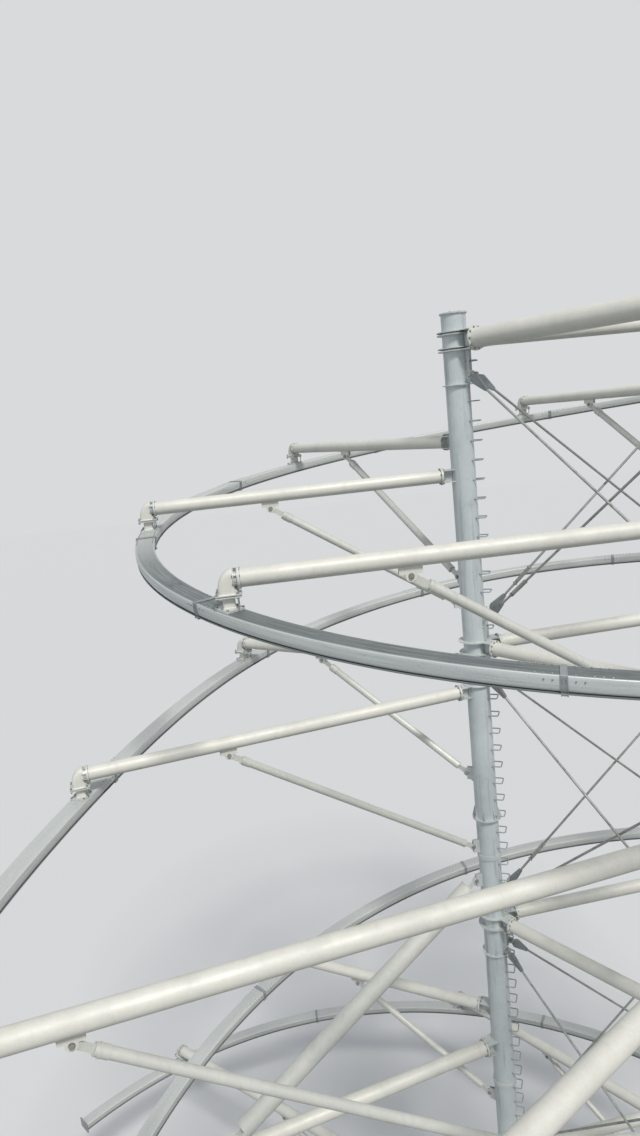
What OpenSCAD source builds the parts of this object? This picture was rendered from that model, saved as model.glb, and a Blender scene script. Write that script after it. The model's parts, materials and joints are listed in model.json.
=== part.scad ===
// Spiral suspended-rail ride tower: a three-column tubular steel tower, braced with
// rods, whose cantilever arms and struts carry a box rail that winds down round it.
// Millimetres, +Z up. The origin is the centre of column 1's base plate, at its underside.

/* [Tower] */
// Distance between two columns, centre to centre
tower_side = 4900; // [4700:50:5200]
// Direction from column 1 to the middle of the tower, degrees from +X
tower_turn = -21; // [-24:1:-18]
// Height of one bay, from ring beam to ring beam
bay_h = 4985; // [4900:5:5050]
// Number of bays
bay_count = 4; // [4:1:4]
// Height of the top bay
top_bay_h = 4825; // [4750:5:4900]
// Outer diameter of a column
column_d = 377; // [340:1:400]
// Wall of a column
column_wall = 12; // [8:1:20]
// Column above the top ring beam
column_over = 400; // [300:5:450]
// Thickness of the plate on top of a column
cap_t = 20; // [12:1:30]
// How far the cap plate reaches past the column
cap_lip = 22; // [10:1:40]
// Height of the columns' lower splice ring
lower_ring_z = 6660; // [6640:5:6700]
// Height of the columns' upper splice ring
upper_ring_z = 11230; // [11200:5:11250]
// How much lower the rings of column 2 are, clear of its arms
ring_drop = 230; // [220:5:235]
// Height of a splice ring
ring_h = 70; // [50:5:75]
// How far a splice ring stands out
ring_out = 16; // [10:1:25]
// Height of the underside of the finned collar
collar_z = 11930; // [11900:5:11940]
// Thickness of the collar plate
collar_t = 20; // [15:1:25]
// How far the collar plate stands out
collar_out = 55; // [45:5:60]
// Fins on the collar
fin_count = 8; // [8:1:8]
// Height of a fin
fin_h = 160; // [120:10:200]
// Thickness of a fin
fin_t = 12; // [8:1:14]

/* [Base plates] */
// Diameter of a base plate
base_d = 780; // [740:10:900]
// Thickness of a base plate
base_t = 30; // [20:1:50]
// Diameter of the anchor bolt circle
anchor_pcd = 660; // [640:5:690]
// Diameter of an anchor hole
anchor_hole_d = 34; // [24:1:40]
// Anchor holes in one base plate
anchor_count = 8; // [6:1:8]
// Height of the stiffeners on a base plate
gusset_h = 260; // [200:10:350]
// Thickness of stiffeners and bracket plates
plate_t = 14; // [10:1:18]

/* [Ring beams] */
// Diameter of a ring beam
beam_d = 219; // [180:1:240]
// Diameter of the heavier beam at the top, between columns 1 and 2
top_beam_d = 299; // [250:1:300]
// Wall of a ring beam
beam_wall = 8; // [6:1:12]
// Distance from a column's centre to the bolted face of a beam
beam_reach = 400; // [380:5:450]
// How far a bolted flange reaches past its tube
flange_lip = 32; // [25:1:38]
// How far the ring plates of a joint reach past the column
ring_lip = 75; // [50:5:90]

/* [Bracing rods] */
// Diameter of a bracing rod
rod_d = 38; // [30:1:44]
// Sideways shift of a rod, so that two can cross
rod_shift = 30; // [26:1:34]
// Height from a ring beam to the nearest rod lug
lug_rise = 520; // [480:10:600]
// Distance from a column's centre to a rod's pin
pin_reach = 290; // [275:5:310]
// Diameter of the eye on a rod's end
eye_d = 96; // [80:2:120]

/* [Rail] */
// Width of the rail
rail_w = 270; // [250:5:300]
// Height of the rail
rail_h = 170; // [160:5:200]
// Wall of the rail
rail_wall = 12; // [8:1:14]
// Radius of the top turn
turn_1_r = 6250; // [6150:50:6350]
// Radius of the second turn
turn_2_r = 7400; // [7300:50:7500]
// Radius of the third turn
turn_3_r = 8450; // [8350:50:8550]
// Radius of the bottom turn
turn_4_r = 9500; // [9400:50:9550]
// Turns of rail between two splices
splice_pitch = 0.0985; // [0.098:0.0005:0.0995]
// Thickness of the band round a splice
band_t = 12; // [8:1:16]
// Length of the band round a splice
band_l = 70; // [50:5:90]

/* [Arms] */
// Diameter of an arm
arm_d = 203; // [180:1:219]
// Wall of an arm
arm_wall = 8; // [6:1:12]
// Diameter of the long arms
long_arm_d = 245; // [230:1:260]
// Distance from a column's centre to the bolted face of an arm
arm_reach = 360; // [340:5:380]
// Height of an arm's centre line over the rail's top
arm_rise = 330; // [320:5:380]
// Diameter of a strut
strut_d = 121; // [100:1:130]
// Wall of a strut
strut_wall = 6; // [5:1:10]
// Diameter of the raker that holds an arm from above
raker_d = 299; // [273:1:310]
// Wall of the raker
raker_wall = 8; // [6:1:12]
// Where a strut meets its arm, as a share of the arm's length
strut_place = 0.62; // [0.58:0.01:0.66]
// Height of a strut, as a share of its run
strut_fall = 0.66; // [0.6:0.01:0.7]
// Gap between the two cheeks of a strut bracket
cheek_gap = 28; // [24:1:36]
// Width of the cheeks where they meet an arm
cheek_root = 260; // [240:10:280]
// Width of the cheeks round a pin on an arm
cheek_tip = 130; // [120:5:140]
// Width of the cheeks round a pin on a column
cheek_end = 110; // [100:5:120]

/* [Hangers] */
// Distance from an arm's end face to the rail's middle
hood_back = 125; // [115:5:140]
// Radius of the curved hood plate
hood_r = 235; // [215:5:250]
// Width of the hood
hood_w = 190; // [160:5:210]
// Height of the hood's base plate over the rail's top
hood_lift = 95; // [85:5:110]
// Diameter of the stub between hood and foot plate
stub_d = 150; // [120:5:170]

// Length of the foot plate along the rail
foot_l = 230; // [200:10:260]
// Height of the foot plate's upper face over the rail
foot_t = 30; // [26:1:36]

/* [Step irons] */
// Height from one step iron to the next
step_pitch = 300; // [280:10:350]
// Width of a step iron
step_w = 220; // [180:10:260]
// How far a step iron stands off the column
step_out = 130; // [110:5:160]
// Diameter of a step iron's bar
step_bar = 20; // [16:1:24]

/* [Hidden] */
$fn = 48;
// Gap between a curved seat and what sits on it
seat = 0.3;
// Gap under a foot plate and a band, where the rail is slightly twisted
foot_gap = 0.8;
// Room between a column and the web of a beam's stub
web_gap = 4;
column_r = column_d / 2;
column_top = base_t + bay_h * (bay_count - 1) + top_bay_h + column_over;
tube_bottom = base_t;
// Column centres in plan: the tower is an equilateral triangle
function polar(r, a) = [r * cos(a), r * sin(a)];
COLUMNS = [[0, 0], polar(tower_side, tower_turn - 30), polar(tower_side, tower_turn + 30)];
TOWER_MID = (COLUMNS[0] + COLUMNS[1] + COLUMNS[2]) / 3;
FACES = [[0, 1], [1, 2], [2, 0]];
function azimuth(p, q) = atan2(q[1] - p[1], q[0] - p[0]);
function level_z(k) = base_t + bay_h * min(k, bay_count - 1) + (k == bay_count ? top_bay_h : 0);

// Rail path. t counts turns from the back of the tower; the angle grows with t.
rail_start = -0.275;
rail_end = 3.12;
// Middle and radius of the path at some turns, as [t, x, y, radius], blended from one to the next
PATH_KEYS = [
    [0.35, 1300, -150, turn_1_r], [1.1, 1825, -1800, turn_2_r],
    [2.1, 1675, -4150, turn_3_r], [3.1, -3125, -2700, turn_4_r],
];
// Swell of the top turn to the right, and how much the front of the lower turns is drawn in
side_swell = 1400;
front_draw = 2200;
// The second turn reaches out furthest at the left of its front
bulge_out = 3200;
bulge_angle = 223;
// Height of the rail's top over the ground, by turn
RAIL_HEIGHTS = [
    [-0.4, 19750], [0, 18350], [0.25, 17500], [0.5, 16450], [0.75, 15500], [1, 15000], [1.25, 13900],
    [1.5, 12350], [2, 8550], [2.25, 6950], [2.5, 5200], [3, 2650], [3.25, 2250],
];
function smooth(x) = let (u = min(max(x, 0), 1)) u * u * (3 - 2 * u);
function path_value(t, c, k = 0) = k == len(PATH_KEYS) - 1 ? PATH_KEYS[0][c] :
    (PATH_KEYS[k + 1][c] - PATH_KEYS[k][c]) * path_blend(t, k) + path_value(t, c, k + 1);
function path_blend(t, k) = smooth((t - PATH_KEYS[k][0]) / (PATH_KEYS[k + 1][0] - PATH_KEYS[k][0]));
function bulge_mix(t) = smooth((t - 0.9) / 0.3) * (1 - smooth((t - 1.6) / 0.3));
function rail_angle(t) = 90 + 360 * t;
function rail_z(t) = let (n = 4, span = 0.09)
    [for (i = [-n:n]) lookup(t + span * i / n, RAIL_HEIGHTS)] * [for (i = [-n:n]) 1 / (2 * n + 1)];
function rail_xy(t) =
    let (
        m = path_blend(t, 0),
        a = rail_angle(t),
        swell = side_swell * (1 - m) * pow((1 + cos(a)) / 2, 3),
        draw = front_draw * m * pow((1 - sin(a)) / 2, 3),
        bulge = bulge_out * bulge_mix(t) * pow(max(cos(a - bulge_angle), 0), 4)
    )
    [path_value(t, 1), path_value(t, 2)] + polar(path_value(t, 3), a) + [swell, draw] + polar(bulge, bulge_angle);
function rail_point(t) = [rail_xy(t)[0], rail_xy(t)[1], rail_z(t)];
// Direction of travel in plan at t, which grows with t and never jumps by a turn
function rail_heading(t) = let (h = azimuth(rail_xy(t - 0.002), rail_xy(t + 0.002)))
    h + 360 * round((rail_angle(t) + 90 - h) / 360);
function outward(t) = rail_heading(t) - 90;

// Arms: place on the rail in turns, the column that carries it, the turn it is on, and where its
// strut meets it if that is not at strut_place
ARMS = [
    [-0.25, 2, 1], [-0.14, 2, 1], [-0.027, 2, 1], [0.111, 0, 1], [0.255, 0, 1],
    [0.365, 1, 1, 0.7], [0.51, 1, 1], [0.625, 1, 1], [0.72, 2, 1], [0.82, 2, 1],
    [0.925, 2, 2], [1.147, 0, 2], [1.241, 0, 2, 0.66], [1.325, 1, 2, 0.82], [1.42, 1, 2],
    [1.5, 1, 2], [1.58, 1, 2, 0.74], [1.66, 1, 2], [1.735, 2, 2], [1.805, 2, 2],
    [1.905, 2, 3], [2.118, 0, 3], [2.22, 0, 3], [2.325, 1, 3, 0.74], [2.42, 1, 3],
    [2.5, 1, 3], [2.58, 1, 3], [2.66, 1, 3], [2.745, 2, 3], [2.83, 2, 3],
    [2.95, 2, 4], [3.075, 0, 4],
];
// The arm that a raker holds from above, how far out it does so, and the raker's height on the column
RAKED = [2.22, 0, 3];
raker_out = 5000;
raker_z = 10800;
long_arm_from = 6600;

// Splices cut the rail into lengths; a length is a few straight chords, with one under each hanger
// A splice keeps this many turns away from a hanger
splice_clear = 0.012;
SPLICES = [for (k = [-6:28]) let (t = off_hanger(k * splice_pitch + 0.3535))
    if (t > rail_start + 0.02 && t < rail_end - 0.03) t];
function off_hanger(t) = let (near = [for (a = ARMS) if (abs(a[0] - t) < splice_clear) a[0]])
    len(near) == 0 ? t : near[0] + (t < near[0] ? -1 : 1) * splice_clear;
CUTS = concat([rail_start], SPLICES, [rail_end]);
chords = 5;
// Gap between the ends of two lengths of rail, and the straight piece of rail past a foot plate
joint_gap = 0.5;
foot_margin = 20;
// Half of the chord under a hanger, in turns
function foot_turns(t) = (foot_l / 2 + foot_margin) / (norm(rail_xy(t + 0.001) - rail_xy(t - 0.001)) / 0.002);
function chord_ends(t) = [t - foot_turns(t), t + foot_turns(t)];
function chord_point(t) = let (e = chord_ends(t)) (rail_point(e[0]) + rail_point(e[1])) / 2;
function sorted(v) =
    len(v) < 2 ? v : let (p = v[floor(len(v) / 2)])
    concat(sorted([for (x = v) if (x < p) x]), [p], sorted([for (x = v) if (x > p) x]));
// Turns at which a length from t0 to t1 has a ring
function ring_turns(t0, t1) =
    let (held = [for (a = ARMS) if (a[0] > t0 && a[0] < t1) a[0]])
    sorted(concat(
        [t0, t1],
        [for (i = [1:chords - 1]) let (t = t0 + (t1 - t0) * i / chords)
            if (min(concat([1], [for (h = held) abs(h - t)])) > 2 * foot_turns(t)) t],
        [for (h = held) each chord_ends(h)]
    ));
function plan(p) = [p[0], p[1]];
function arm_length(a) = norm(plan(chord_point(a[0])) - COLUMNS[a[1]]);
function arm_azimuth(a) = azimuth(COLUMNS[a[1]], chord_point(a[0]));
function arm_z(a) = chord_point(a[0])[2] + arm_rise;
function arm_size(a) = arm_length(a) > long_arm_from ? long_arm_d : arm_d;
function turn_arms(n) = [for (a = ARMS) if (a[2] == n) a];

// A tube along +X from x0 to x1
module tube_x(d, wall, x0, x1) {
    translate([x0, 0, 0]) rotate([0, 90, 0]) difference() {
        cylinder(d = d, h = x1 - x0);
        translate([0, 0, -1]) cylinder(d = d - 2 * wall, h = x1 - x0 + 2);
    }
}

// A disc across +X, from x0 on
module disc_x(d, x0, t) {
    translate([x0, 0, 0]) rotate([0, 90, 0]) cylinder(d = d, h = t);
}

// A plate given by its two opposite corners
module plate(lo, hi) {
    translate(lo) cube(hi - lo);
}

module at_column(i) {
    translate([COLUMNS[i][0], COLUMNS[i][1], 0]) children();
}

// Column i: a plain tube between its base plate and its cap
module column(i) {
    color([0.70, 0.75, 0.76]) at_column(i) translate([0, 0, tube_bottom]) difference() {
        cylinder(r = column_r, h = column_top - tube_bottom);
        translate([0, 0, -1]) cylinder(r = column_r - column_wall, h = column_top - tube_bottom + 2);
    }
}

// One round base plate with its anchor holes and stiffeners
module base_plate() {
    difference() {
        cylinder(d = base_d, h = base_t);
        for (k = [0:anchor_count - 1]) rotate([0, 0, (k + 0.5) * 360 / anchor_count])
            translate([anchor_pcd / 2, 0, -1]) cylinder(d = anchor_hole_d, h = base_t + 2);
    }
    for (k = [0:anchor_count - 1]) rotate([0, 0, k * 360 / anchor_count]) difference() {
        translate([0, plate_t / 2, base_t]) rotate([90, 0, 0]) linear_extrude(plate_t) polygon([
            [0, 0], [base_d / 2 - 20, 0], [base_d / 2 - 20, 40], [column_r + 40, gusset_h], [0, gusset_h],
        ]);
        translate([0, 0, base_t - 1]) cylinder(r = column_r + seat, h = gusset_h + 2);
    }
}

module base_plates() {
    color([0.66, 0.70, 0.70]) for (i = [0:2]) at_column(i) base_plate();
}

module column_caps() {
    color([0.74, 0.78, 0.79]) for (i = [0:2]) at_column(i) translate([0, 0, column_top])
        cylinder(r = column_r + cap_lip, h = cap_t);
}

// A ring round a column at height z that stands out by lip
module ring_on_column(z, lip, h) {
    translate([0, 0, z]) linear_extrude(h) difference() {
        circle(r = column_r + lip);
        circle(r = column_r + seat);
    }
}

// Finned collar: a ring plate with triangular fins over it, turned to miss the step irons
module finned_collar() {
    ring_on_column(collar_z, collar_out, collar_t);
    for (k = [0:fin_count - 1]) rotate([0, 0, tower_turn + k * 360 / fin_count])
        translate([0, fin_t / 2, collar_z + collar_t]) rotate([90, 0, 0]) linear_extrude(fin_t) polygon([
            [column_r + 1, -1], [column_r + collar_out - 5, -1], [column_r + collar_out - 5, 20],
            [column_r + 12, fin_h], [column_r + 1, fin_h],
        ]);
}

module column_rings() {
    color([0.66, 0.71, 0.72]) for (i = [0:2]) at_column(i) translate([0, 0, i == 1 ? -ring_drop : 0]) {
        for (z = [lower_ring_z, upper_ring_z]) ring_on_column(z - ring_h / 2, ring_out, ring_h);
        finned_collar();
    }
}

// Cuts the room of the column out of the children, which reach no higher or lower than reach
module round_column(reach) {
    difference() {
        union() children();
        translate([0, 0, -reach]) cylinder(r = column_r + seat, h = 2 * reach);
    }
}

// Bolted stub towards +X: two flat plates, a web and a flange, of outer size d, without that room
module stub_x(d, reach) {
    half = flat_half(d);
    for (s = [-1, 1]) plate(
        [0, -d / 2, s * half - plate_t / 2], [reach - plate_t / 2, d / 2, s * half + plate_t / 2]);
    plate([0, -plate_t / 2, -half], [reach - plate_t / 2, plate_t / 2, half]);
    disc_x(d + 2 * flange_lip, reach - plate_t, plate_t);
}

// Lug plate for the rods towards +X, pinned at pin_reach
module rod_lug() {
    round_column(eye_d) translate([0, 10, 0]) rotate([90, 0, 0]) linear_extrude(20) {
        translate([column_r / 2, -eye_d * 0.7]) square([pin_reach - 10 - column_r / 2, eye_d * 1.4]);
        translate([pin_reach, 0]) circle(d = eye_d * 0.8);
    }
}

function face_beam_d(f, k) = (f == 0 && k == bay_count) ? top_beam_d : beam_d;

// Beams that end on column i at level k, as [direction, diameter]
function beam_ends(i, k) = [for (f = [0:2]) if (FACES[f][0] == i || FACES[f][1] == i)
    let (j = FACES[f][0] == i ? FACES[f][1] : FACES[f][0])
    [azimuth(COLUMNS[i], COLUMNS[j]), face_beam_d(f, k)]];
// Height of a stub's flat plates over its centre line
function flat_half(d) = d / 2 - 10;

// Ring plate of column i at level k, in one piece with the flat plates of the stubs of size d
module ring_plate(i, k, d) {
    linear_extrude(plate_t) difference() {
        union() {
            circle(r = column_r + ring_lip);
            for (e = beam_ends(i, k)) if (e[1] == d)
                rotate(e[0]) translate([0, -d / 2]) square([beam_reach - plate_t / 2, d]);
        }
        circle(r = column_r + seat);
    }
}

// The joint of column i at level k: two ring plates for each size of beam, and each stub's web and flange
module joint(i, k) {
    ends = beam_ends(i, k);
    sizes = ends[0][1] == ends[1][1] ? [ends[0][1]] : [ends[0][1], ends[1][1]];
    at_column(i) translate([0, 0, level_z(k)]) {
        for (d = sizes, s = [-1, 1]) translate([0, 0, s * flat_half(d) - plate_t / 2]) ring_plate(i, k, d);
        for (e = ends) rotate([0, 0, e[0]]) {
            half = flat_half(e[1]);
            plate([column_r + web_gap, -plate_t / 2, -half], [beam_reach - plate_t / 2, plate_t / 2, half]);
            disc_x(e[1] + 2 * flange_lip, beam_reach - plate_t, plate_t);
        }
    }
}

// The rod lugs of column i, over and under each ring beam that has a braced bay there
module rod_lugs(i) {
    for (f = [0:2]) if (FACES[f][0] == i || FACES[f][1] == i) {
        j = FACES[f][0] == i ? FACES[f][1] : FACES[f][0];
        for (k = [0:bay_count - 1], z = [level_z(k) + lug_rise, level_z(k + 1) - lug_rise])
            at_column(i) translate([0, 0, z]) rotate([0, 0, azimuth(COLUMNS[i], COLUMNS[j])]) rod_lug();
    }
}

module joints_column(i) {
    color([0.62, 0.67, 0.68]) {
        for (k = [1:bay_count]) joint(i, k);
        rod_lugs(i);
    }
}

// The three beams of level k
module ring_beams(k) {
    color([0.80, 0.83, 0.81]) for (f = [0:2]) {
        p = COLUMNS[FACES[f][0]];
        q = COLUMNS[FACES[f][1]];
        d = face_beam_d(f, k);
        far = tower_side - beam_reach;
        translate([p[0], p[1], level_z(k)]) rotate([0, 0, azimuth(p, q)]) {
            tube_x(d, beam_wall, beam_reach, far);
            disc_x(d + 2 * flange_lip, beam_reach, plate_t);
            disc_x(d + 2 * flange_lip, far - plate_t, plate_t);
        }
    }
}

// One rod in the plane of a face, from (x0, z0) to (x1, z1), shifted sideways
module rod(x0, z0, x1, z1, shift) {
    run = x1 - x0;
    rise = z1 - z0;
    side = shift > 0 ? 1 : -1;
    thick = 2 * (rod_shift - 10 - seat);
    for (e = [[x0, z0], [x1, z1]]) translate([e[0], shift + thick / 2, e[1]])
        rotate([90, 0, 0]) cylinder(d = eye_d, h = thick);
    translate([x0, shift, z0]) rotate([0, 90 - atan2(rise, run), 0])
        cylinder(d = rod_d, h = norm([run, rise]), $fn = 24);
}

// The crossed rods of face f, in every bay
module rods_face(f) {
    p = COLUMNS[FACES[f][0]];
    q = COLUMNS[FACES[f][1]];
    color([0.35, 0.38, 0.38]) translate([p[0], p[1], 0]) rotate([0, 0, azimuth(p, q)])
        for (k = [0:bay_count - 1]) {
            low = level_z(k) + lug_rise;
            high = level_z(k + 1) - lug_rise;
            rod(pin_reach, low, tower_side - pin_reach, high, rod_shift);
            rod(pin_reach, high, tower_side - pin_reach, low, -rod_shift);
        }
}

// Children are drawn in the frame of arm a: +X along the arm, z = 0 on its centre line
module at_arm(a) {
    translate([COLUMNS[a[1]][0], COLUMNS[a[1]][1], arm_z(a)]) rotate([0, 0, arm_azimuth(a)]) children();
}

// Strut of arm a in that frame: [x, z] of its upper and its lower end
pin_lift = 95;
function strut_share(a) = len(a) > 3 ? a[3] : strut_place;
function strut_top(a) = [arm_length(a) * strut_share(a), -arm_size(a) / 2 - pin_lift];
// Distance from a column's surface to a pin on it
pin_out = 110;
function strut_run(a) = strut_top(a)[0] - column_r - pin_out;
// A strut near the ground is flatter, so that its foot stays over the base plate
function strut_drop(a) = min(strut_run(a) * strut_fall, arm_z(a) + strut_top(a)[1] - base_t - gusset_h - 300);
function strut_foot(a) = [column_r + pin_out, strut_top(a)[1] - strut_drop(a)];
// The raker's upper end on the column and its lower end over the arm
function raker_top(a) = [column_r + pin_out, raker_z - arm_z(a)];
function raker_foot(a) = [raker_out, arm_size(a) / 2 + pin_lift];
function raked(a) = a[0] == RAKED[0];

// Two cheeks on the column round a pin at [x, z] in an arm's frame, and a tie under them
module column_cheeks(pin) {
    half = cheek_gap / 2;
    translate([0, 0, pin[1]]) round_column(200) {
        for (y = [half, -half - plate_t]) translate([0, y + plate_t, 0])
            rotate([90, 0, 0]) linear_extrude(plate_t) {
                translate([column_r / 2, -cheek_end])
                    square([pin[0] - column_r / 2, 2 * cheek_end]);
                translate([pin[0], 0]) circle(d = cheek_end);
            }
        plate(
            [column_r / 2, -half - plate_t, -cheek_end - 20],
            [column_r + 30, half + plate_t, 5 - cheek_end]);
    }
}

// The welded pieces on a column for arm a: bolted stub, and cheeks for its strut and raker
module arm_bracket(a) {
    at_arm(a) {
        round_column(arm_size(a)) stub_x(arm_size(a), arm_reach);
        column_cheeks(strut_foot(a));
        if (raked(a)) column_cheeks(raker_top(a));
    }
}

module brackets_column(i) {
    color([0.66, 0.71, 0.72]) for (a = ARMS) if (a[1] == i) arm_bracket(a);
}

// Two cheeks under an arm of size d, round a pin at [x, z]
module arm_cheeks(d, pin) {
    difference() {
        for (s = [-1, 1]) translate([0, s * (cheek_gap + plate_t) / 2 + plate_t / 2, 0])
            rotate([90, 0, 0]) linear_extrude(plate_t) {
                translate([pin[0] - cheek_root / 2, pin[1] + 20]) square([cheek_root, -pin[1] - 20]);
                translate([pin[0] - cheek_tip / 2, pin[1]]) square([cheek_tip, 40]);
                translate(pin) circle(d = cheek_tip);
            }
        translate([pin[0] - cheek_root, 0, 0]) rotate([0, 90, 0])
            cylinder(d = d - arm_wall, h = 2 * cheek_root);
    }
}

// Arm a: tube, bolted flanges at both ends, and the cheeks that its strut and raker are pinned to
module arm(a) {
    d = arm_size(a);
    far = arm_length(a) - hood_back;
    at_arm(a) {
        tube_x(d, arm_wall, arm_reach, far);
        disc_x(d + 2 * flange_lip, arm_reach, plate_t);
        disc_x(d + flange_lip, far - plate_t, plate_t);
        arm_cheeks(d, strut_top(a));
        if (raked(a)) mirror([0, 0, 1]) arm_cheeks(d, [raker_foot(a)[0], -raker_foot(a)[1]]);
    }
}

module arms_turn(n) {
    color([0.86, 0.87, 0.84]) for (a = turn_arms(n)) arm(a);
}

// A tube of diameter d between two eye plates, from pin p to pin q in an arm's frame
module link(p, q, d, wall) {
    l = norm(q - p);
    eye_t = cheek_gap - 2 * seat;
    translate([p[0], 0, p[1]]) rotate([0, -atan2(q[1] - p[1], q[0] - p[0]), 0]) {
        for (x = [0, l]) translate([x, eye_t / 2, 0]) rotate([90, 0, 0]) cylinder(d = 100, h = eye_t);
        plate([0, -eye_t / 2, -40], [l, eye_t / 2, 40]);
        tube_x(d, wall, 190, l - 230);
        disc_x(d + 8, 180, plate_t);
        disc_x(d + 8, l - 230, plate_t);
    }
}

module strut(a) {
    at_arm(a) link(strut_foot(a), strut_top(a), strut_d, strut_wall);
}

module raker() {
    color([0.78, 0.80, 0.80]) at_arm(RAKED) link(raker_top(RAKED), raker_foot(RAKED), raker_d, raker_wall);
}

module struts_turn(n) {
    color([0.84, 0.85, 0.82]) for (a = turn_arms(n)) strut(a);
}

// Outline of the hood's cheeks, with the arm's end face at x = 0
module hood_outline(r) {
    low = -arm_rise + hood_lift;
    intersection() {
        union() {
            translate([0, -hood_r / 2]) circle(r = r);
            translate([0, low]) square([r, -hood_r / 2 - low]);
        }
        translate([0, low]) square([r + 1, arm_rise * 2]);
    }
}

// Hanger of arm a: end flange, cheeks under a curved hood plate, base plate and stub on a foot plate
module hanger(a) {
    far = arm_length(a) - hood_back;
    low = -arm_rise + hood_lift;
    t = a[0];
    at_arm(a) translate([far, 0, 0]) {
        disc_x(arm_size(a) + flange_lip, 0, plate_t);
        for (s = [-1, 1]) translate([0, s * (hood_w - plate_t) / 2 + plate_t / 2, 0])
            rotate([90, 0, 0]) linear_extrude(plate_t) hood_outline(hood_r - 4);
        translate([0, hood_w / 2, 0]) rotate([90, 0, 0]) linear_extrude(hood_w) difference() {
            hood_outline(hood_r);
            hood_outline(hood_r - plate_t);
        }
        plate([-35, -hood_w / 2 - 15, low - plate_t], [hood_r + 30, hood_w / 2 + 15, low]);
        translate([hood_back, 0, foot_t / 2 - arm_rise]) cylinder(d = stub_d, h = hood_lift - foot_t / 2);
    }
    ends = [for (e = chord_ends(t)) rail_point(e)];
    run = norm([ends[1][0] - ends[0][0], ends[1][1] - ends[0][1]]);
    slope = atan2(ends[1][2] - ends[0][2], run);
    translate(chord_point(t)) rotate([0, 0, azimuth(ends[0], ends[1])]) rotate([0, -slope, 0])
        plate([-foot_l / 2, -rail_w / 2 + 15, foot_gap], [foot_l / 2, rail_w / 2 - 15, foot_t]);
}

module hangers_turn(n) {
    color([0.83, 0.84, 0.81]) for (a = turn_arms(n)) hanger(a);
}

// Rail section, half of it as [out, down] from the middle of the top, grown by g all round:
// a box, a narrow neck and the running flange under it
function half_section(g) = [
    [rail_w / 2 + g, -g],
    [rail_w / 2 + g, rail_h * 0.62 + g],
    [rail_w * 0.36 + g, rail_h * 0.7 + g / 2],
    [rail_w * 0.36 + g, rail_h * 0.86 - g / 2],
    [rail_w * 0.46 + 1.8 * g, rail_h + g],
];
function section(g) = let (h = half_section(g))
    concat(h, [for (i = [4:-1:0]) [-h[i][0], h[i][1]]]);

// Frame of the rail at t: a point on the middle of its top, and the outward direction in plan
function frame(t) = [rail_point(t), outward(t)];
function mix_frame(p, q, u) = [p[0] * (1 - u) + q[0] * u, p[1] * (1 - u) + q[1] * u];
function ring(fr, pts) = [
    for (p = pts) fr[0] + [p[0] * cos(fr[1]), p[0] * sin(fr[1]), -p[1]]
];

// A hollow body carried along frames: outer section and inner section have the same count
module carry(frames, outer, inner) {
    n = len(outer);
    m = len(frames);
    points = [for (fr = frames) each concat(ring(fr, outer), ring(fr, inner))];
    w = 2 * n;
    // Each four-sided face is split in two triangles, because it is slightly twisted
    out_faces = [for (k = [0:m - 2], i = [0:n - 1]) let (j = (i + 1) % n, b = k * w)
        each [[b + i, b + w + i, b + w + j], [b + i, b + w + j, b + j]]];
    in_faces = [for (k = [0:m - 2], i = [0:n - 1]) let (j = (i + 1) % n, b = k * w + n)
        each [[b + j, b + w + j, b + w + i], [b + j, b + w + i, b + i]]];
    near = [for (i = [0:n - 1]) let (j = (i + 1) % n) each [[i, j, n + j], [i, n + j, n + i]]];
    e = (m - 1) * w;
    far = [for (i = [0:n - 1]) let (j = (i + 1) % n)
        each [[e + j, e + i, e + n + i], [e + j, e + n + i, e + n + j]]];
    polyhedron(points, concat(out_faces, in_faces, near, far), convexity = 6);
}

function cut_turn(t) = t < 0.97 ? 1 : t < 1.97 ? 2 : t < 2.97 ? 3 : 4;
// Frames along one length, drawn back from both splices by half the gap
function drawn_back(f, gap) =
    let (n = len(f) - 1)
    concat(
        [mix_frame(f[0], f[1], gap / norm(f[1][0] - f[0][0]))],
        [for (i = [1:n - 1]) f[i]],
        [mix_frame(f[n], f[n - 1], gap / norm(f[n - 1][0] - f[n][0]))]
    );
LENGTHS = [for (k = [0:len(CUTS) - 2]) [for (t = ring_turns(CUTS[k], CUTS[k + 1])) frame(t)]];

module rail_turn(n) {
    color([0.52, 0.57, 0.59]) for (k = [0:len(CUTS) - 2])
        if (cut_turn((CUTS[k] + CUTS[k + 1]) / 2) == n)
            carry(drawn_back(LENGTHS[k], joint_gap / 2), section(0), section(-rail_wall));
}

// Bands over the splices of turn n, along the chords on both sides
module splice_bands(n) {
    color([0.60, 0.64, 0.65]) for (k = [1:len(CUTS) - 2]) {
        mid = LENGTHS[k][0];
        back = LENGTHS[k - 1][len(LENGTHS[k - 1]) - 2];
        ahead = LENGTHS[k][1];
        u = band_l / 2 / norm(ahead[0] - mid[0]);
        v = band_l / 2 / norm(back[0] - mid[0]);
        if (cut_turn(CUTS[k]) == n)
            carry([mix_frame(mid, back, v), mid, mix_frame(mid, ahead, u)], section(band_t), section(foot_gap));
    }
}

// End plates that close both ends of the rail
module rail_end_stops() {
    color([0.60, 0.64, 0.65]) for (e = [[rail_start, -1], [rail_end, 1]])
        translate(rail_point(e[0])) rotate([0, 0, outward(e[0]) + 90]) {
            x0 = e[1] > 0 ? 0 : -2 * plate_t;
            plate([x0, -rail_w / 2 - 30, -rail_h - 30], [x0 + 2 * plate_t, rail_w / 2 + 30, 30]);
        }
}

// Heights at which a step iron fits between the joints
function step_clear(z) = min([for (k = [0:bay_count]) min(
    abs(z - level_z(k)) - beam_d / 2 - 40,
    abs(z - level_z(k) - lug_rise) - eye_d - 20,
    abs(z - level_z(k) + lug_rise) - eye_d - 20
)]) > 0;
STEPS = [for (z = [600:step_pitch:column_top - 150]) if (step_clear(z)) z];

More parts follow.
